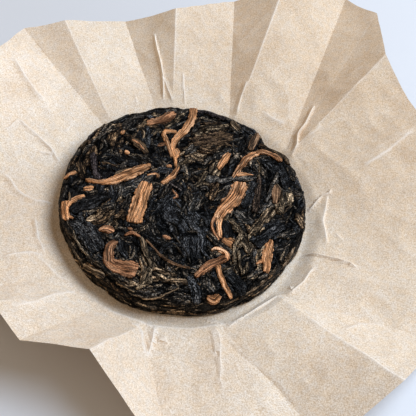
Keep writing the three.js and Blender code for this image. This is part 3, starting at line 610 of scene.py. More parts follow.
def bed_piece(bed, material):
    """The bed as a closed solid: a square grid folded onto the disc, and a flat underside."""
    side = np.linspace(-1, 1, BED_GRID + 1)
    a, b = np.meshgrid(side, side)
    wide = np.abs(a) > np.abs(b)
    with np.errstate(divide="ignore", invalid="ignore"):
        angle = np.where(wide, math.pi / 4 * b / a, math.pi / 2 - math.pi / 4 * a / b)
    angle = np.nan_to_num(angle)
    reach = np.where(wide, a, b) * FOOT_REACH
    x, y = (reach * np.cos(angle)).ravel(), (reach * np.sin(angle)).ravel()
    lift = on_bed(bed, "height", x, y)
    lift = lift * (1 - 0.5 * eased(np.hypot(x, y), TOP_REACH + 2, EDGE_REACH))
    lift = lift * (1 - eased(np.hypot(x, y), FOOT_REACH - 1.5, FOOT_REACH))
    points = on_cake(x, y, lift)
    cells = cells_at(x, y)
    attributes = {key: bed[key][cells] for key in (*PAINTED, "unshaded")}

    n = BED_GRID + 1
    index = np.arange(n * n).reshape(n, n)
    rim = np.concatenate([index[0, :-1], index[:-1, -1], index[-1, :0:-1], index[:0:-1, 0]])
    middle = np.array([[0, 0, CAKE_BASE]])
    faces = grid_faces(n, n)
    faces += [[int(q), int(p), n * n] for p, q in zip(rim, np.roll(rim, -1))]
    attributes = {key: np.append(values, values[0]) for key, values in attributes.items()}
    return mesh_piece("leaf_bed", np.vstack([points, middle]), faces, attributes, material)


# ---------------------------------------------------------------- leaves that stand proud


def proud_leaf(bed, route, rise, look, seed, step=0.34, cell=0.3, roll=0.1, fold=0.0, dive=0.0, crinkle=0.2):
    """A leaf as a closed ribbon over the bed: points, faces and numbers for its material.

    roll rounds its section, fold bends it into a V along its middle, and dive sinks it under the
    buds and the dull leaves."""
    line, tangent, width = trace(route, step)
    u = np.arange(len(line)) * step
    near_end = np.minimum(u, u[-1] - u)
    top = np.linspace(-1, 1, max(5, int(width.max() / cell) | 1))
    across = np.concatenate([top, [0.55, -0.55]])
    over = np.arange(len(across)) < len(top)
    half = torn(u, across, width, seed) * (0.84 + 0.16 * eased(near_end, 0, 0.8))[:, None]
    distance = across[None, :] * half
    fray = noise(distance / 0.7, 0.3, seed + 5) + 0.5 * noise(distance / 0.35, 0.3, seed + 6)
    fray = fray * ((0.2 + 0.1 * width) * (1 - eased(near_end, 0, 2.0)))[:, None]
    x = line[:, :1] - tangent[:, 1:] * distance + tangent[:, :1] * fray
    y = line[:, 1:] + tangent[:, :1] * distance + tangent[:, 1:] * fray
    reach = np.hypot(x, y)
    pull = np.minimum(1, (FOOT_REACH - 1.2) / np.maximum(reach, 1e-6))
    x, y = x * pull, y * pull
    calm = on_bed(bed, "calm", x, y)
    middle = running_mean(calm.mean(axis=1), 1.2 / step)[:, None]
    rest = 0.6 * middle + 0.4 * calm - dive * on_bed(bed, "covered", x, y)
    profile = (1 - roll) * (1 - np.abs(across) ** 12) + roll * np.sqrt(np.clip(1 - across**2, 0, 1))
    bent = fold * (np.abs(across) - 0.5)
    slant = distance + crinkle * noise(u[:, None] / 1.5, distance / 1.1, seed + 4)
    grooves = ridged(u[:, None] / 5, slant / 1.2, seed + 1)
    waves = noise(u[:, None] / 3, distance / 2.6, seed + 2)
    proud = 0.12 + 0.36 * rise * profile + 0.14 * grooves * profile + 0.2 * waves + bent
    edge = np.abs(across) ** 14
    lift = np.where(over[None, :], rest + proud - 0.15 * edge, rest - 0.5)
    points = on_cake(x, y, lift).reshape(-1, 3)
    rows, columns = lift.shape
    faces = grid_faces(rows, columns, wrap=True, flip=True)
    faces.append(list(range(columns)))
    faces.append(list(range((rows - 1) * columns, rows * columns))[::-1])
    # Painted shade: lower in the leaf's grooves and towards its edges, where the leaf material darkens it.
    unshaded_share = eased(grooves + 0.8 * profile, -1.2, 0.8)
    # Paler fibre on the groove crests and on some leaves' edges: partly wear, partly a painted highlight.
    wear_and_highlight = np.maximum(eased(grooves, 0.5, 1.0), np.abs(across) ** 5 * (0.8 if seed % 2 else 0))
    attributes = {
        "along": (u[:, None] + 0 * distance + 31.7 * (seed % 97)).ravel(),
        "across": (slant + 5.3 * (seed % 89)).ravel(),
        "leaf": np.full(lift.size, (seed * GOLDEN_SHARE) % 1.0),
        "ink": np.full(lift.size, look["ink"]),
        "thread": np.full(lift.size, look["thread"]),
        "wear_and_highlight": (wear_and_highlight * over).ravel(),
        "unshaded": np.broadcast_to(unshaded_share, lift.shape).ravel(),
    }
    return points, faces, attributes


def leaves_piece(name, leaves, material):
    """One mesh from many leaves, each (points, faces, attributes)."""
    points, faces, attributes, start = [], [], {}, 0
    for leaf_points, leaf_faces, numbers in leaves:
        points.append(leaf_points)
        faces += [[start + i for i in face] for face in leaf_faces]
        for key, values in numbers.items():
            attributes.setdefault(key, []).append(values)
        start += len(leaf_points)
    attributes = {key: np.concatenate(values) for key, values in attributes.items()}
    return mesh_piece(name, np.vstack(points), faces, attributes, material)


def unnamed_leaves(bed, count, length, width, looseness, bend, seed, **form):
    """Leaves drawn at random that lie over the bed and dive under the buds and the dull leaves."""
    leaves = []
    for k, (route, look) in enumerate(spread(count, length, width, looseness, bend, TOP_REACH + 2)):
        rise = draws.uniform(-0.6, 2.0)
        fold = draws.uniform(-0.4, 0.4)
        leaves.append(proud_leaf(bed, route, rise, look, seed + 7 * k, fold=fold, dive=1.4, **form))
    return leaves


# ---------------------------------------------------------------- the wrapper

# The sheet's folds, anticlockwise from the near left: the angle and height where the fold leaves the ring
# crease, then the angle, radius and height of its end on the sheet's edge. The ends lie within half a
# millimetre of the part's. A scratch program printed this list, and worked out the angle and radius of
# fifteen of the ends from pixels. The other numbers were typed. The ends of the folds at -123 and 137
# were changed afterwards, and the one at 137 is among the fifteen.
FOLDS = (
    (-144, 4.0, -145.5, 105, 16),
    (-136, 3.0, -138, 98, 14),
    (-123, 4.0, -130.5, 93.5, 23),
    (-114, 3.0, -118.2, 96.9, 26),
    (-97.5, 4.0, -103.7, 89, 30),
    (-95.5, 2.5, -83, 118, 9),
    (-69, 4.5, -71.5, 115, 8),
    (-66, 3.0, -55.5, 118, 6),
    (-40, 5.0, -39.5, 117.2, 21),
    (-37, 3.5, -24, 120, 8),
    (-15, 4.0, -10, 121, 12),
    (8, 2.5, 10, 118, 15),
    (24, 3.5, 29.2, 119.4, 21),
    (36, 2.5, 36.7, 120.5, 20),
    (43, 4.0, 47.9, 124.5, 28),
    (44.5, 3.3, 57.7, 150.2, 25),
    (46, 2.5, 65.6, 158.3, 17),
    (74, 4.0, 76.7, 133.5, 29),
    (77, 2.5, 86.9, 130.1, 15),
    (103, 4.0, 101.1, 108.7, 23),
    (111, 2.5, 113.4, 116.8, 9),
    (133, 4.0, 129.5, 114.2, 20),
    (137, 2.5, 137.8, 123.8, 15),
    (158, 4.0, 160.1, 114.9, 22),
    (178, 2.5, 178, 118, 26),
    (195, 3.5, 197, 115, 8),
)
# Painted light (above 0, paler) and painted shade (below 0, darker and browner) on the sheet: where, how far
# it reaches, how much.
PAINTED_LIGHT_AND_SHADE = (
    (-98, 52, 42, 1.0),
    (-68, -14, 24, -0.8),
    (24, -78, 22, -0.6),
    (3, 88, 22, -0.3),
    (45, 92, 28, -0.4),
    (66, -54, 26, 0.5),
    (-36, 70, 18, 0.3),
)
COLUMN_WIDTH = 1.22
INNER_RADII = (12, 30, 44, 50, 52, 53, 54, 55, 56, 57, 58, 59, 60, 61)
OUTER_ROWS = 61
OUTER_CROWDING = 1.2  # above 1, the outer rows crowd towards the ring
SHARP_FOLD = 14.0  # degrees

# The sheet's small creases: places on the plan, the crest's height, below 0 for a groove, and how far
# each flank reaches to the left and to the right of the way the places run. Most places were read by
# eye on enlarged crops of the photo, turned into millimetres by a scratch program and rounded.
CREASES = (
    ([(-30, 98), (-28.5, 92.5), (-26, 86), (-23, 78.5), (-21.5, 74), (-20, 67.5),
      (-18.5, 60)], 2.0, 0.9, 0.9),
    ([(-21.5, 74), (-18, 67.5), (-14, 60.5)], 0.9, 1.5, 0.8),
    ([(-12, 77.5), (-10.5, 70.5), (-8, 60.5)], 0.6, 0.7, 0.7),
    ([(-32.5, 62), (-30.5, 55.5)], 0.4, 0.8, 0.8),
    ([(20, 78.5), (18, 69), (17, 60)], 0.9, 0.8, 2.0),
    ([(29.5, 63), (35.5, 59.5), (41.5, 57.5)], 0.7, 4.0, 2.5),
    ([(54, 71), (50, 57.5), (47, 51.5), (47, 44.5), (45, 38.5)], 2.6, 1.0, 1.6),
    ([(50.5, 48.5), (54, 51.5), (57.5, 56)], 0.5, 1.5, 1.0),
    ([(76, 33), (87.5, 42), (94, 49), (99.5, 54.5)], 1.1, 9.0, 3.0),
    ([(55, 10), (57.5, 14), (60.5, 18.5), (63.5, 20), (64.5, 23)], 1.2, 0.8, 1.2),
    ([(63, 20), (62.5, 12), (61.5, 5), (62.5, 0), (64, -9.5)], 1.3, 1.1, 3.0),
    ([(67, -1), (70, -4.5)], 0.4, 0.8, 0.8),
    ([(54, -13), (61.5, -14.5), (66, -15.5), (72.5, -17), (77.5, -20)], 1.2, 1.0, 0.8),
    ([(59.5, -20), (57, -23.5), (54.5, -29), (51.5, -32.5), (48, -36)], 1.1, 1.2, 1.2),
    ([(49.5, -31), (50.5, -36)], 0.8, 0.7, 0.7),
    ([(48, -36), (44.5, -36.5), (38.5, -42), (31.5, -49), (24.5, -57)], 1.2, 1.0, 1.6),
    ([(17, -51), (25.5, -53.5)], 0.7, 1.0, 1.2),
    ([(17.5, -56), (20.5, -56), (23, -59), (24, -63), (24.5, -69), (25.5, -74), (25.5, -78), (28, -84)],
     0.75, 1.4, 1.1),
    ([(19.5, -56.5), (21, -60.5), (22, -64), (23, -70)], 0.5, 1.0, 1.0),
    ([(23, -59), (27.5, -62.5), (38, -70), (45.5, -75.5), (57, -86.5)], -0.55, 1.3, 2.6),
    ([(-8.5, -62), (-6.5, -63), (-5, -68.5), (-3, -74.5)], 1.2, 1.8, 1.2),
    ([(-1.5, -58), (-2, -61.5), (-1.8, -65), (-2.4, -76)], 1.3, 1.3, 1.6),
    ([(-12, -60.5), (-8.5, -61.5), (-6, -63)], 1.0, 1.0, 1.0),
    ([(0, -66.5), (2.5, -63), (4, -67)], 0.7, 1.0, 1.0),
    ([(-34, -49), (-20, -56), (-4, -59), (12, -58), (26, -53), (38, -45)], 0.6, 1.6, 2.6),
    ([(-53.5, -70.5), (-46.5, -63.5), (-41.5, -56), (-34, -49.5)], 0.9, 3.0, 1.5),
    ([(-54, -37.5), (-49.5, -40.5), (-43, -45), (-37, -46)], 0.7, 2.5, 2.0),
    ([(-67, -43), (-62, -40), (-56.5, -37), (-50.5, -37)], 0.9, 1.2, 2.5),
    ([(-60.5, -18), (-58, -23.5), (-56, -29), (-54, -31.5), (-51, -36.5)], 1.2, 1.0, 2.0),
    ([(-79.5, -1), (-74.5, -3.5), (-71, -7), (-67.5, -8.5), (-62.5, -9.5), (-53, -7.5)], 1.0, 1.0, 2.2),
    ([(-80, 29), (-76.5, 25.5), (-70, 23), (-63, 19), (-59, 15), (-55.5, 12.5)], 1.0, 2.6, 1.2),
    ([(-68, 15.5), (-61, 16.5)], 0.6, 1.5, 0.7),
    ([(-83, 18.5), (-81, 22), (-79.5, 28)], 0.8, 0.8, 2.4),
    ([(-59, 29.5), (-57.5, 34.5), (-57.5, 38.5)], 0.6, 2.0, 0.8),
    ([(-91.5, 62.5), (-83.5, 53), (-76, 45.5), (-69, 42)], 0.9, 3.0, 2.0),
    ([(-105, 20), (-92, 17), (-80, 8)], 0.9, 2.5, 1.4),
    ([(-96, -34), (-84, -30), (-74, -33)], 0.9, 1.4, 2.4),
    ([(70, -52), (78, -46), (88, -44)], 0.8, 1.2, 2.6),
)


def polar(angle, radius, height):
    """Points at angles in degrees round the origin."""
    a = np.radians(angle)
    return np.stack([radius * np.cos(a), radius * np.sin(a), height + 0 * a], axis=-1)


def wrapper_grid():
    """The sheet's rows of points, from under the cake to the sheet's edge."""
    columns_ring, columns_end = [], []
    for k, fold in enumerate(FOLDS):
        ahead = FOLDS[(k + 1) % len(FOLDS)]
        turn = 360 if k + 1 == len(FOLDS) else 0
        first, last = polar(fold[2], fold[3], fold[4]), polar(ahead[2], ahead[3], ahead[4])
        count = max(4, int(np.linalg.norm(last - first) / COLUMN_WIDTH))
        t = np.arange(count) / count
        angle = fold[0] + (ahead[0] + turn - fold[0]) * t
        columns_ring.append(np.stack([angle, fold[1] + (ahead[1] - fold[1]) * t], axis=1))
        columns_end.append(first + (last - first) * t[:, None])
    ring, end = np.vstack(columns_ring), np.vstack(columns_end)
    rows = []
    for radius in INNER_RADII:
        share = eased(radius, FLAT_RADIUS, RING_RADIUS)
        rows.append(polar(ring[:, 0], radius, ring[:, 1] * share))
    edge_of_ring = polar(ring[:, 0], RING_RADIUS, ring[:, 1])
    for q in np.linspace(0, 1, OUTER_ROWS) ** OUTER_CROWDING:
        rows.append(edge_of_ring + (end - edge_of_ring) * q)
    return np.stack(rows)


def crease_frame(x, y, places):
    """For points on the plan: distance from a crease, side of it (1 is left) and share along it."""
    best = np.full(x.shape, np.inf)
    side, along = np.ones_like(x), np.zeros_like(x)
    places = np.asarray(places, float)
    steps = np.linalg.norm(np.diff(places, axis=0), axis=1)
    start = 0.0
    for (ax, ay), (bx, by), length in zip(places, places[1:], steps):
        ux, uy = (bx - ax) / length, (by - ay) / length
        t = np.clip((x - ax) * ux + (y - ay) * uy, 0, length)
        gap = np.hypot(x - ax - t * ux, y - ay - t * uy)
        nearer = gap < best
        turn = np.where(ux * (y - ay) - uy * (x - ax) > 0, 1.0, -1.0)
        best = np.where(nearer, gap, best)
        side = np.where(nearer, turn, side)
        along = np.where(nearer, (start + t) / steps.sum(), along)
        start += length
    return best, side, along


def slide_to_crease(grid, places):
    """Slides the grid's nearest points along their own row or column onto a crease that crosses it."""
    gap, side, along = crease_frame(grid[..., 0], grid[..., 1], places)
    signed = gap * side
    inside = (along > 0) & (along < 1)
    slide = np.zeros_like(grid)
    length = np.full(gap.shape, np.inf)
    for step, axis in ((1, 1), (-1, 1), (1, 0), (-1, 0)):
        other = np.roll(signed, step, axis)
        share = signed / np.where(signed == other, np.inf, signed - other)
        crosses = inside & (signed * other < 0) & (np.abs(share) <= 0.5) & (gap < 1.5)
        if axis == 0:
            crosses[[0, -1]] = False
        move = share[..., None] * (np.roll(grid, step, axis) - grid)
        reach = np.linalg.norm(move, axis=-1)
        better = crosses & (reach < length)
        slide[better] = move[better]
        length[better] = reach[better]
    grid += slide


def press_creases(grid):
    """Bends the sheet up, or down for a groove, along each crease, and returns how much each point is on a
    crest, where the paper is painted paler: partly wear, partly a painted highlight."""
    for places, _, _, _ in CREASES:
        slide_to_crease(grid, places)
    x, y = grid[..., 0], grid[..., 1]
    crest = np.zeros_like(x)
    lift = np.zeros_like(x)
    for k, (places, height, left, right) in enumerate(CREASES):
        gap, side, along = crease_frame(x, y, places)
        flank = np.where(side > 0, left, right)
        taper = eased(np.minimum(along, 1 - along), 0, 0.18) * (0.85 + 0.2 * noise(along * 7, k, 77))
        tent = np.clip(1 - gap / flank, 0, 1) * taper
        lift = np.where(np.abs(height * tent) > np.abs(lift), height * tent, lift)
        crest = np.maximum(crest, np.clip(1 - gap / 0.8, 0, 1) * taper * np.clip(height, 0, 1))
    grid[..., 2] += lift
    return crest


def halved_quads(grid):
    """The grid's cells in halves, each cut along its higher diagonal so that no crest is broken."""
    rows, columns, _ = grid.shape
    index = np.arange(rows * columns).reshape(rows, columns)
    a, b = index[:-1], np.roll(index, -1, 1)[:-1]
    d, c = index[1:], np.roll(index, -1, 1)[1:]
    height = grid[..., 2].ravel()
    first = (height[a] + height[c] > height[b] + height[d])[..., None]
    one = np.where(first, np.stack([a, b, c], -1), np.stack([a, b, d], -1))
    two = np.where(first, np.stack([a, c, d], -1), np.stack([b, c, d], -1))
    return np.concatenate([one.reshape(-1, 3), two.reshape(-1, 3)])


def wrapper_piece(material):
    """The sheet: both faces share one grid, SHEET apart, and meet along the edge."""
    grid = wrapper_grid()
    rows, columns, _ = grid.shape
    x, y = grid[..., 0], grid[..., 1]
    radius = np.hypot(x, y)
    loose = eased(radius, 56, 74)
    crumple = 0.5 * fractal(x / 26, y / 26, 3, 31) + 0.16 * fractal(x / 6, y / 6, 2, 47)
    facets = 0.35 * ridged(x / 17, y / 17, 53) + 0.2 * ridged((x + y) / 12, (x - y) / 12, 59)
    grid[..., 2] += loose * (crumple + facets)
    crest = press_creases(grid)
    grid[..., 2] = np.maximum(grid[..., 2], 0)
    before, after = np.roll(grid, 1, axis=1), np.roll(grid, -1, axis=1)
    bow = grid[..., 2] - (before[..., 2] + after[..., 2]) / 2
    crest = np.maximum(crest, loose * np.clip(4 * bow / np.linalg.norm((after - before), axis=-1), 0, 1))
    points = grid.reshape(-1, 3)
    count = len(points)
    upper = points + np.array([0, 0, SHEET])
    centre = np.array([[0, 0, 0], [0, 0, SHEET]])
    halves = halved_quads(grid)
    faces = halves.tolist() + (halves[:, ::-1] + count).tolist()
    last = (rows - 1) * columns
    low_hub, high_hub = 2 * count, 2 * count + 1
    for c in range(columns):
        d = (c + 1) % columns
        faces.append([c, low_hub, d])
        faces.append([high_hub, count + c, count + d])
        faces.append([last + c, last + d, count + last + d, count + last + c])
    painted_light_and_shade = sum(
        share * np.exp(-((x - cx) ** 2 + (y - cy) ** 2) / reach**2) for cx, cy, reach, share in PAINTED_LIGHT_AND_SHADE
    )
    attributes = {
        "crest": np.concatenate([crest.ravel(), crest.ravel(), [0, 0]]),
        "painted_light_and_shade": np.concatenate([painted_light_and_shade.ravel(), painted_light_and_shade.ravel(), [0, 0]]),
    }
    piece = mesh_piece("wrapper_sheet", np.vstack([points, upper, centre]), faces, attributes, material)
    piece.data.set_sharp_from_angle(angle=math.radians(SHARP_FOLD))
    return piece


# ---------------------------------------------------------------- materials


class Nodes:
    """A material's node tree, with a short way to add and join nodes."""

    def __init__(self, name):
        self.material = bpy.data.materials.new(name)
        self.material.use_nodes = True
        self.tree = self.material.node_tree
        self.shader = self.tree.nodes["Principled BSDF"]

    def add(self, kind, values=None, **settings):
        node = self.tree.nodes.new(kind)
        for key, value in settings.items():
            setattr(node, key, value)
        for key, value in (values or {}).items():
            if isinstance(value, bpy.types.NodeSocket):
                self.tree.links.new(value, node.inputs[key])
            else:
                node.inputs[key].default_value = value
        return node

    def attribute(self, name):
        return self.add("ShaderNodeAttribute", attribute_name=name).outputs["Fac"]

    def math(self, operation, a, b=0.0, c=0.0):
        return self.add("ShaderNodeMath", {0: a, 1: b, 2: c}, operation=operation).outputs[0]

    def ramp(self, value, stops):
        node = self.add("ShaderNodeValToRGB", {"Fac": value})
        elements = node.color_ramp.elements
        while len(elements) < len(stops):
            elements.new(0.5)
        for element, (place, colour) in zip(elements, stops):
            element.position = place
            element.color = (*colour, 1)
        return node.outputs["Color"]

    def mix(self, share, a, b, blend="MIX"):
        node = self.add("ShaderNodeMix", data_type="RGBA", blend_type=blend)
        for socket, value in ((node.inputs[0], share), (node.inputs[6], a), (node.inputs[7], b)):
            if isinstance(value, bpy.types.NodeSocket):
                self.tree.links.new(value, socket)
            elif isinstance(value, tuple):
                socket.default_value = (*value, 1)
            else:
                socket.default_value = value
        return node.outputs[2]

    def tinted(self, colour, value, *stops):
        """The colour times a ramp's colour."""
        return self.mix(1.0, colour, self.ramp(value, stops), "MULTIPLY")

    def noise(self, vector, scale, detail=2.0, roughness=0.5):
        values = {"Vector": vector, "Scale": scale, "Detail": detail, "Roughness": roughness}
        return self.add("ShaderNodeTexNoise", values).outputs["Fac"]

    def stretch(self, value, low, high):
        node = self.add("ShaderNodeMapRange", {"Value": value, "From Min": low, "From Max": high})
        node.clamp = True
        return node.outputs["Result"]

    def bump(self, height, distance, strength):
        values = {"Height": height, "Distance": distance, "Strength": strength}
        return self.add("ShaderNodeBump", values).outputs["Normal"]

    def finish(self, colour, roughness, normal):
        links = self.tree.links
        links.new(colour, self.shader.inputs["Base Color"])
        links.new(normal, self.shader.inputs["Normal"])
        if isinstance(roughness, bpy.types.NodeSocket):
            links.new(roughness, self.shader.inputs["Roughness"])
        else:
            self.shader.inputs["Roughness"].default_value = roughness
        return self.material


# The leaves' colours: the ink that has them, then the colour of its body and of its fibres. The first three
# bodies were made by adding an amount to earlier ones: part of each is a painted sheen, in place of the sheen
# that the leaf material's low specular level leaves out. A scratch program made the first three bodies by
# adding an amount to earlier ones.
LEAF_COLOURS = (
    (0.0, (0.0325, 0.033, 0.0348), (0.22, 0.195, 0.17)),
    (0.12, (0.0467, 0.0415, 0.036), (0.42, 0.285, 0.165)),
    (0.24, (0.0695, 0.0635, 0.0565), (0.43, 0.315, 0.21)),
    (0.34, (0.068, 0.05, 0.047), (0.22, 0.165, 0.15)),
    (0.44, (0.085, 0.049, 0.027), (0.5, 0.3, 0.15)),
    (0.56, (0.1, 0.07, 0.043), (0.54, 0.37, 0.215)),
    (0.70, (0.21, 0.13, 0.07), (0.7, 0.48, 0.29)),
    (0.85, (0.6, 0.245, 0.105), (0.85, 0.52, 0.3)),
    (1.0, (1.0, 0.425, 0.165), (1.0, 0.68, 0.42)),
)
SPLIT = 0.9  # how dark the cracks are


def leaf_material(name, gloss, sheen, length=1.0, fine=1.0, uneven=0.6, dots=1.5):
    """Pressed leaf: its colour runs along it in fibres, paler on its ridges, partly worn fibre and partly
    painted highlight, and black in its grooves by painted shade.
    """
    n = Nodes(name)
    along, across, leaf = n.attribute("along"), n.attribute("across"), n.attribute("leaf")
    ink, thread, unshaded_ = n.attribute("ink"), n.attribute("thread"), n.attribute("unshaded")

    place = n.add("ShaderNodeTexCoord").outputs["Object"]
    wander = n.math("MULTIPLY_ADD", n.noise(place, 450, 2.0), 0.6, across)

    def on_leaf(along_scale, across_scale, offset):
        values = {
            "X": n.math("MULTIPLY", along, along_scale / length),
            "Y": n.math("MULTIPLY", wander, across_scale * fine),
            "Z": n.math("MULTIPLY", leaf, offset),
        }
        return n.add("ShaderNodeCombineXYZ", values).outputs[0]

    def line(where, width):
        """1 on thin wandering lines and 0 off them."""
        value = n.noise(where, 1.0, 2.0, 0.6)
        return n.stretch(n.math("ABSOLUTE", n.math("SUBTRACT", value, 0.5)), width, 0.0)

    fibre = n.noise(on_leaf(0.13, 1.4, 37), 1.0, 2.0, 0.6)
    patch = n.noise(on_leaf(0.3, 0.45, 91), 1.0, 2.0)
    speck = n.stretch(n.noise(place, 1900, 1.0), 0.36, 0.64)
    crack = line(on_leaf(0.12, 0.6, 61), 0.05)
    # Thin pale lines on the leaf's tiny ridges: partly paler fibre, partly a painted highlight.
    crest = line(on_leaf(0.11, 0.8, 23), 0.055)
    body = n.ramp(ink, [(stop, colour) for stop, colour, _ in LEAF_COLOURS])
    pale = n.ramp(ink, [(stop, colour) for stop, _, colour in LEAF_COLOURS])
    streak = n.math("MULTIPLY", n.stretch(fibre, 0.52, 0.64), n.stretch(patch, 0.38, 0.58))
    ridge = n.math("MAXIMUM", streak, n.math("MULTIPLY", crest, n.stretch(patch, 0.62, 0.45)))
    # Paler on crests and edges: partly worn fibre, partly a painted highlight.
    ridge = n.math("MAXIMUM", ridge, n.math("MULTIPLY", n.attribute("wear_and_highlight"), n.stretch(fibre, 0.4, 0.6)))
    ridge = n.math("MULTIPLY", n.math("MULTIPLY", ridge, thread), n.stretch(unshaded_, 0.2, 0.7))
    colour = n.mix(ridge, body, pale)
    contrast = n.math("ADD", thread, 0.25)
    shade = n.math("MULTIPLY_ADD", n.math("SUBTRACT", n.stretch(fibre, 0.40, 0.54), 0.5), contrast, 0.7)
    shade = n.math("MULTIPLY", shade, n.math("MULTIPLY_ADD", crack, -SPLIT, 1.0))
    # Painted shade: darker in the grooves, crevices and seams.
    shade = n.math("MULTIPLY", shade, n.math("MULTIPLY_ADD", unshaded_, 0.8, 0.2))
    shade = n.math("MULTIPLY", shade, n.math("MULTIPLY_ADD", speck, dots, 1 - dots / 2))
    shade = n.math("MULTIPLY", shade, n.math("MULTIPLY_ADD", leaf, uneven, 1 - uneven / 2))
    shade = n.math("POWER", shade, n.math("MULTIPLY_ADD", ink, -1.2, 2))
    grey = n.add("ShaderNodeCombineXYZ", {"X": shade, "Y": shade, "Z": shade}).outputs[0]
    colour = n.mix(1.0, colour, grey, "MULTIPLY")
    relief = n.math("MULTIPLY_ADD", crack, -0.4 * SPLIT, n.math("MULTIPLY", n.math("ADD", crest, fibre), 0.6))
    normal = n.bump(n.math("MULTIPLY_ADD", speck, 0.3, relief), 0.0006, 1.0)
    rough = n.math("MULTIPLY_ADD", patch, 0.3, gloss)
    n.shader.inputs["Specular IOR Level"].default_value = sheen
    return n.finish(colour, rough, normal)


def paper_material():
    """Thin unbleached paper: fine mottled fibre, warm and grey by turns, with painted light and shade in
    broad places, and whiter where it is creased, partly wear and partly painted highlight.
    """
    n = Nodes("wrapper paper")
    place = n.add("ShaderNodeTexCoord").outputs["Object"]
    grain = n.noise(place, 2000, 2.0, 0.7)
    cloud = n.noise(place, 75, 4.0, 0.6)
    stain = n.noise(place, 28, 2.0, 0.5)
    tint = n.noise(place, 380, 2.0, 0.5)
    colour = n.ramp(
        n.stretch(grain, 0.33, 0.67),
        ((0.0, (0.590, 0.450, 0.310)), (0.5, (0.790, 0.648, 0.497)), (1.0, (0.950, 0.835, 0.700))),
    )
    white = (1.0, 1.0, 1.0)
    warm = (1.0, 0.958, 0.90)
    colour = n.tinted(colour, n.stretch(tint, 0.35, 0.65), (0.0, (0.955, 0.967, 0.99)), (1.0, warm))
    colour = n.tinted(colour, n.stretch(cloud, 0.3, 0.7), (0.0, (0.94, 0.92, 0.89)), (1.0, white))
    colour = n.tinted(colour, n.stretch(stain, 0.35, 0.6), (0.0, (0.94, 0.91, 0.88)), (1.0, white))
    # Painted light and shade: paler towards the front left and darker, browner towards the back right.
    axes = n.add("ShaderNodeSeparateXYZ", {"Vector": place}).outputs
    towards_back_right = n.stretch(n.math("MULTIPLY_ADD", axes["Y"], 0.75, axes["X"]), -0.1, 0.13)
    painted_shade_tint = (0.92, 0.865, 0.80)
    colour = n.tinted(colour, towards_back_right, (0.0, (1.06, 1.05, 1.05)), (0.43, white), (1.0, painted_shade_tint))
    # Painted light and shade, from the places listed at the top.
    painted_light_and_shade = n.stretch(n.attribute("painted_light_and_shade"), -1.0, 1.0)
    colour = n.tinted(colour, painted_light_and_shade, (0.0, (0.89, 0.85, 0.81)), (0.5, white), (1.0, (1.14, 1.13, 1.13)))
    # Paler on crests and folds: partly worn fibre, partly a painted highlight.
    colour = n.mix(n.math("MULTIPLY", n.attribute("crest"), 0.52), colour, (0.95, 0.86, 0.76))
    normal = n.bump(n.math("MULTIPLY_ADD", cloud, 2.0, grain), 0.0001, 0.35)
    n.shader.inputs["Specular IOR Level"].default_value = 0.25
    return n.finish(colour, 0.85, normal)


def floor_material():
    """Plain pale floor with a faint cloud."""
    n = Nodes("pale floor")
    place = n.add("ShaderNodeTexCoord").outputs["Object"]
    cloud = n.noise(place, 6, 3.0)
    colour = n.ramp(cloud, ((0.0, (0.64, 0.62, 0.61)), (1.0, (0.71, 0.69, 0.68))))
    normal = n.bump(cloud, 0.0001, 0.1)
    return n.finish(colour, 0.5, normal)


# ---------------------------------------------------------------- the pieces

leaf_look = leaf_material("pressed leaf", 0.24, 0.06)
bud_look = leaf_material("leaf buds", 0.45, 0.1, length=2.2, fine=1.5, uneven=0.2, dots=0.6)

bed = make_bed()
leaf_bed = bed_piece(bed, leaf_look)
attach(leaf_bed, "root")
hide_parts("tea_cake")

DARK = dict(count=125, length=(6, 16), width=(2.0, 5.6), looseness=0.6, bend=1.1, seed=1000)
TWISTS = dict(count=100, length=(3, 9), width=(0.5, 1.3), looseness=0.8, bend=1.5, seed=5000)
dark = unnamed_leaves(bed, **DARK, step=0.5, cell=0.36, crinkle=0.25)
twists = unnamed_leaves(bed, **TWISTS, step=0.5, cell=0.3, roll=0.8)
dull = [proud_leaf(bed, *leaf, seed=k + 301) for k, leaf in enumerate(DULL_LEAVES)]
golden = [proud_leaf(bed, *leaf, seed=k + 1, crinkle=0.08) for k, leaf in enumerate(BUDS)]
stems = [proud_leaf(bed, *leaf, seed=k + 71, roll=0.9) for k, leaf in enumerate(STEMS)]
for name, leaves, look in (
    ("dark_leaves", dark, leaf_look),
    ("twisted_leaves", twists, leaf_look),
    ("dull_leaves", dull, leaf_look),
    ("golden_buds", golden, bud_look),
    ("thin_stems", stems, bud_look),
):
    piece = leaves_piece(name, leaves, look)
    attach(piece, "root")

wrapper_sheet = wrapper_piece(paper_material())
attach(wrapper_sheet, "root")
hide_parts("wrapper")

# ---------------------------------------------------------------- floor, light and camera

FLOOR_HALF = 1500
FLOOR_DROP = 0.05  # the floor is this far below the sheet
corners = [(x * FLOOR_HALF, y * FLOOR_HALF, 0) for x, y in ((-1, -1), (1, -1), (1, 1), (-1, 1))]
floor = mesh_piece("floor", corners, [[0, 1, 2, 3]], {}, floor_material(), smooth=False)
floor.location.z = -FLOOR_DROP * MM


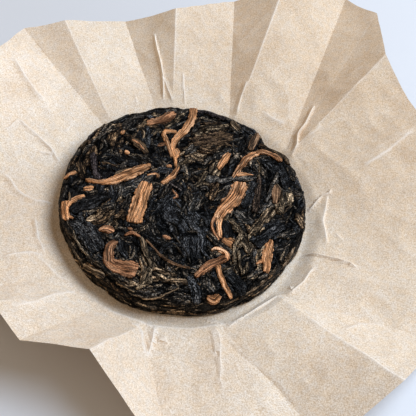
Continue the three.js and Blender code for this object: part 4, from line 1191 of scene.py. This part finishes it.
def area_lamp(name, azimuth, elevation, distance, size, power, colour):
    """A square lamp that looks at the cake. Azimuth 0 is on +X and 90 on +Y."""
    data = bpy.data.lights.new(name, "AREA")
    data.shape = "SQUARE"
    data.size = size * MM
    data.energy = power
    data.color = colour
    lamp = bpy.data.objects.new(name, data)
    rise = math.radians(elevation)
    place = polar(azimuth, distance * math.cos(rise), distance * math.sin(rise))
    direction = place / np.linalg.norm(place)
    side = np.cross([0, 0, 1], direction)
    side /= np.linalg.norm(side)
    axes = np.stack([side, np.cross(direction, side), direction], axis=1)
    turn = Matrix(axes.tolist()).to_4x4()
    turn.translation = (place * MM).tolist()
    lamp.matrix_world = turn
    bpy.context.scene.collection.objects.link(lamp)


KEY_LAMP = dict(azimuth=22, elevation=54.5, distance=900, size=600, power=11.3, colour=(0.62, 0.78, 1.0))
area_lamp("key", **KEY_LAMP)

SKY_COLOUR = (1.0, 0.85, 0.68, 1)
SKY_STRENGTH = 0.42
world = bpy.data.worlds.new("studio")
world.use_nodes = True
sky = world.node_tree.nodes["Background"].inputs
sky["Color"].default_value = SKY_COLOUR
sky["Strength"].default_value = SKY_STRENGTH
bpy.context.scene.world = world

# The photo's camera. A scratch program fitted its tilt, roll, distance and target to the cake's outline.
VIEW_FIELD = 30.0  # degrees
VIEW_TILT = 52.53  # degrees below the horizon
VIEW_ROLL = 9.34  # degrees
VIEW_DISTANCE = 342.9
VIEW_TARGET = np.array([11.0, 4.2, 0.0])
SENSOR = 36.0
CLIP_START = 0.01  # metres


def photo_camera():
    """Adds the photo's camera and makes it the scene's."""
    tilt, roll = math.radians(VIEW_TILT), math.radians(VIEW_ROLL)
    forward = np.array([0, math.cos(tilt), -math.sin(tilt)])
    level = np.array([1.0, 0, 0])
    up = np.cross(level, forward)
    right = math.cos(roll) * level + math.sin(roll) * up
    top = -math.sin(roll) * level + math.cos(roll) * up
    data = bpy.data.cameras.new("photo")
    data.sensor_width = SENSOR
    data.lens = SENSOR / 2 / math.tan(math.radians(VIEW_FIELD / 2))
    data.clip_start = CLIP_START
    camera = bpy.data.objects.new("photo", data)
    turn = Matrix(np.stack([right, top, -forward], axis=1).tolist()).to_4x4()
    turn.translation = ((VIEW_TARGET - forward * VIEW_DISTANCE) * MM).tolist()
    camera.matrix_world = turn
    bpy.context.scene.collection.objects.link(camera)
    bpy.context.scene.camera = camera


photo_camera()
bpy.context.scene.view_settings.view_transform = "Standard"
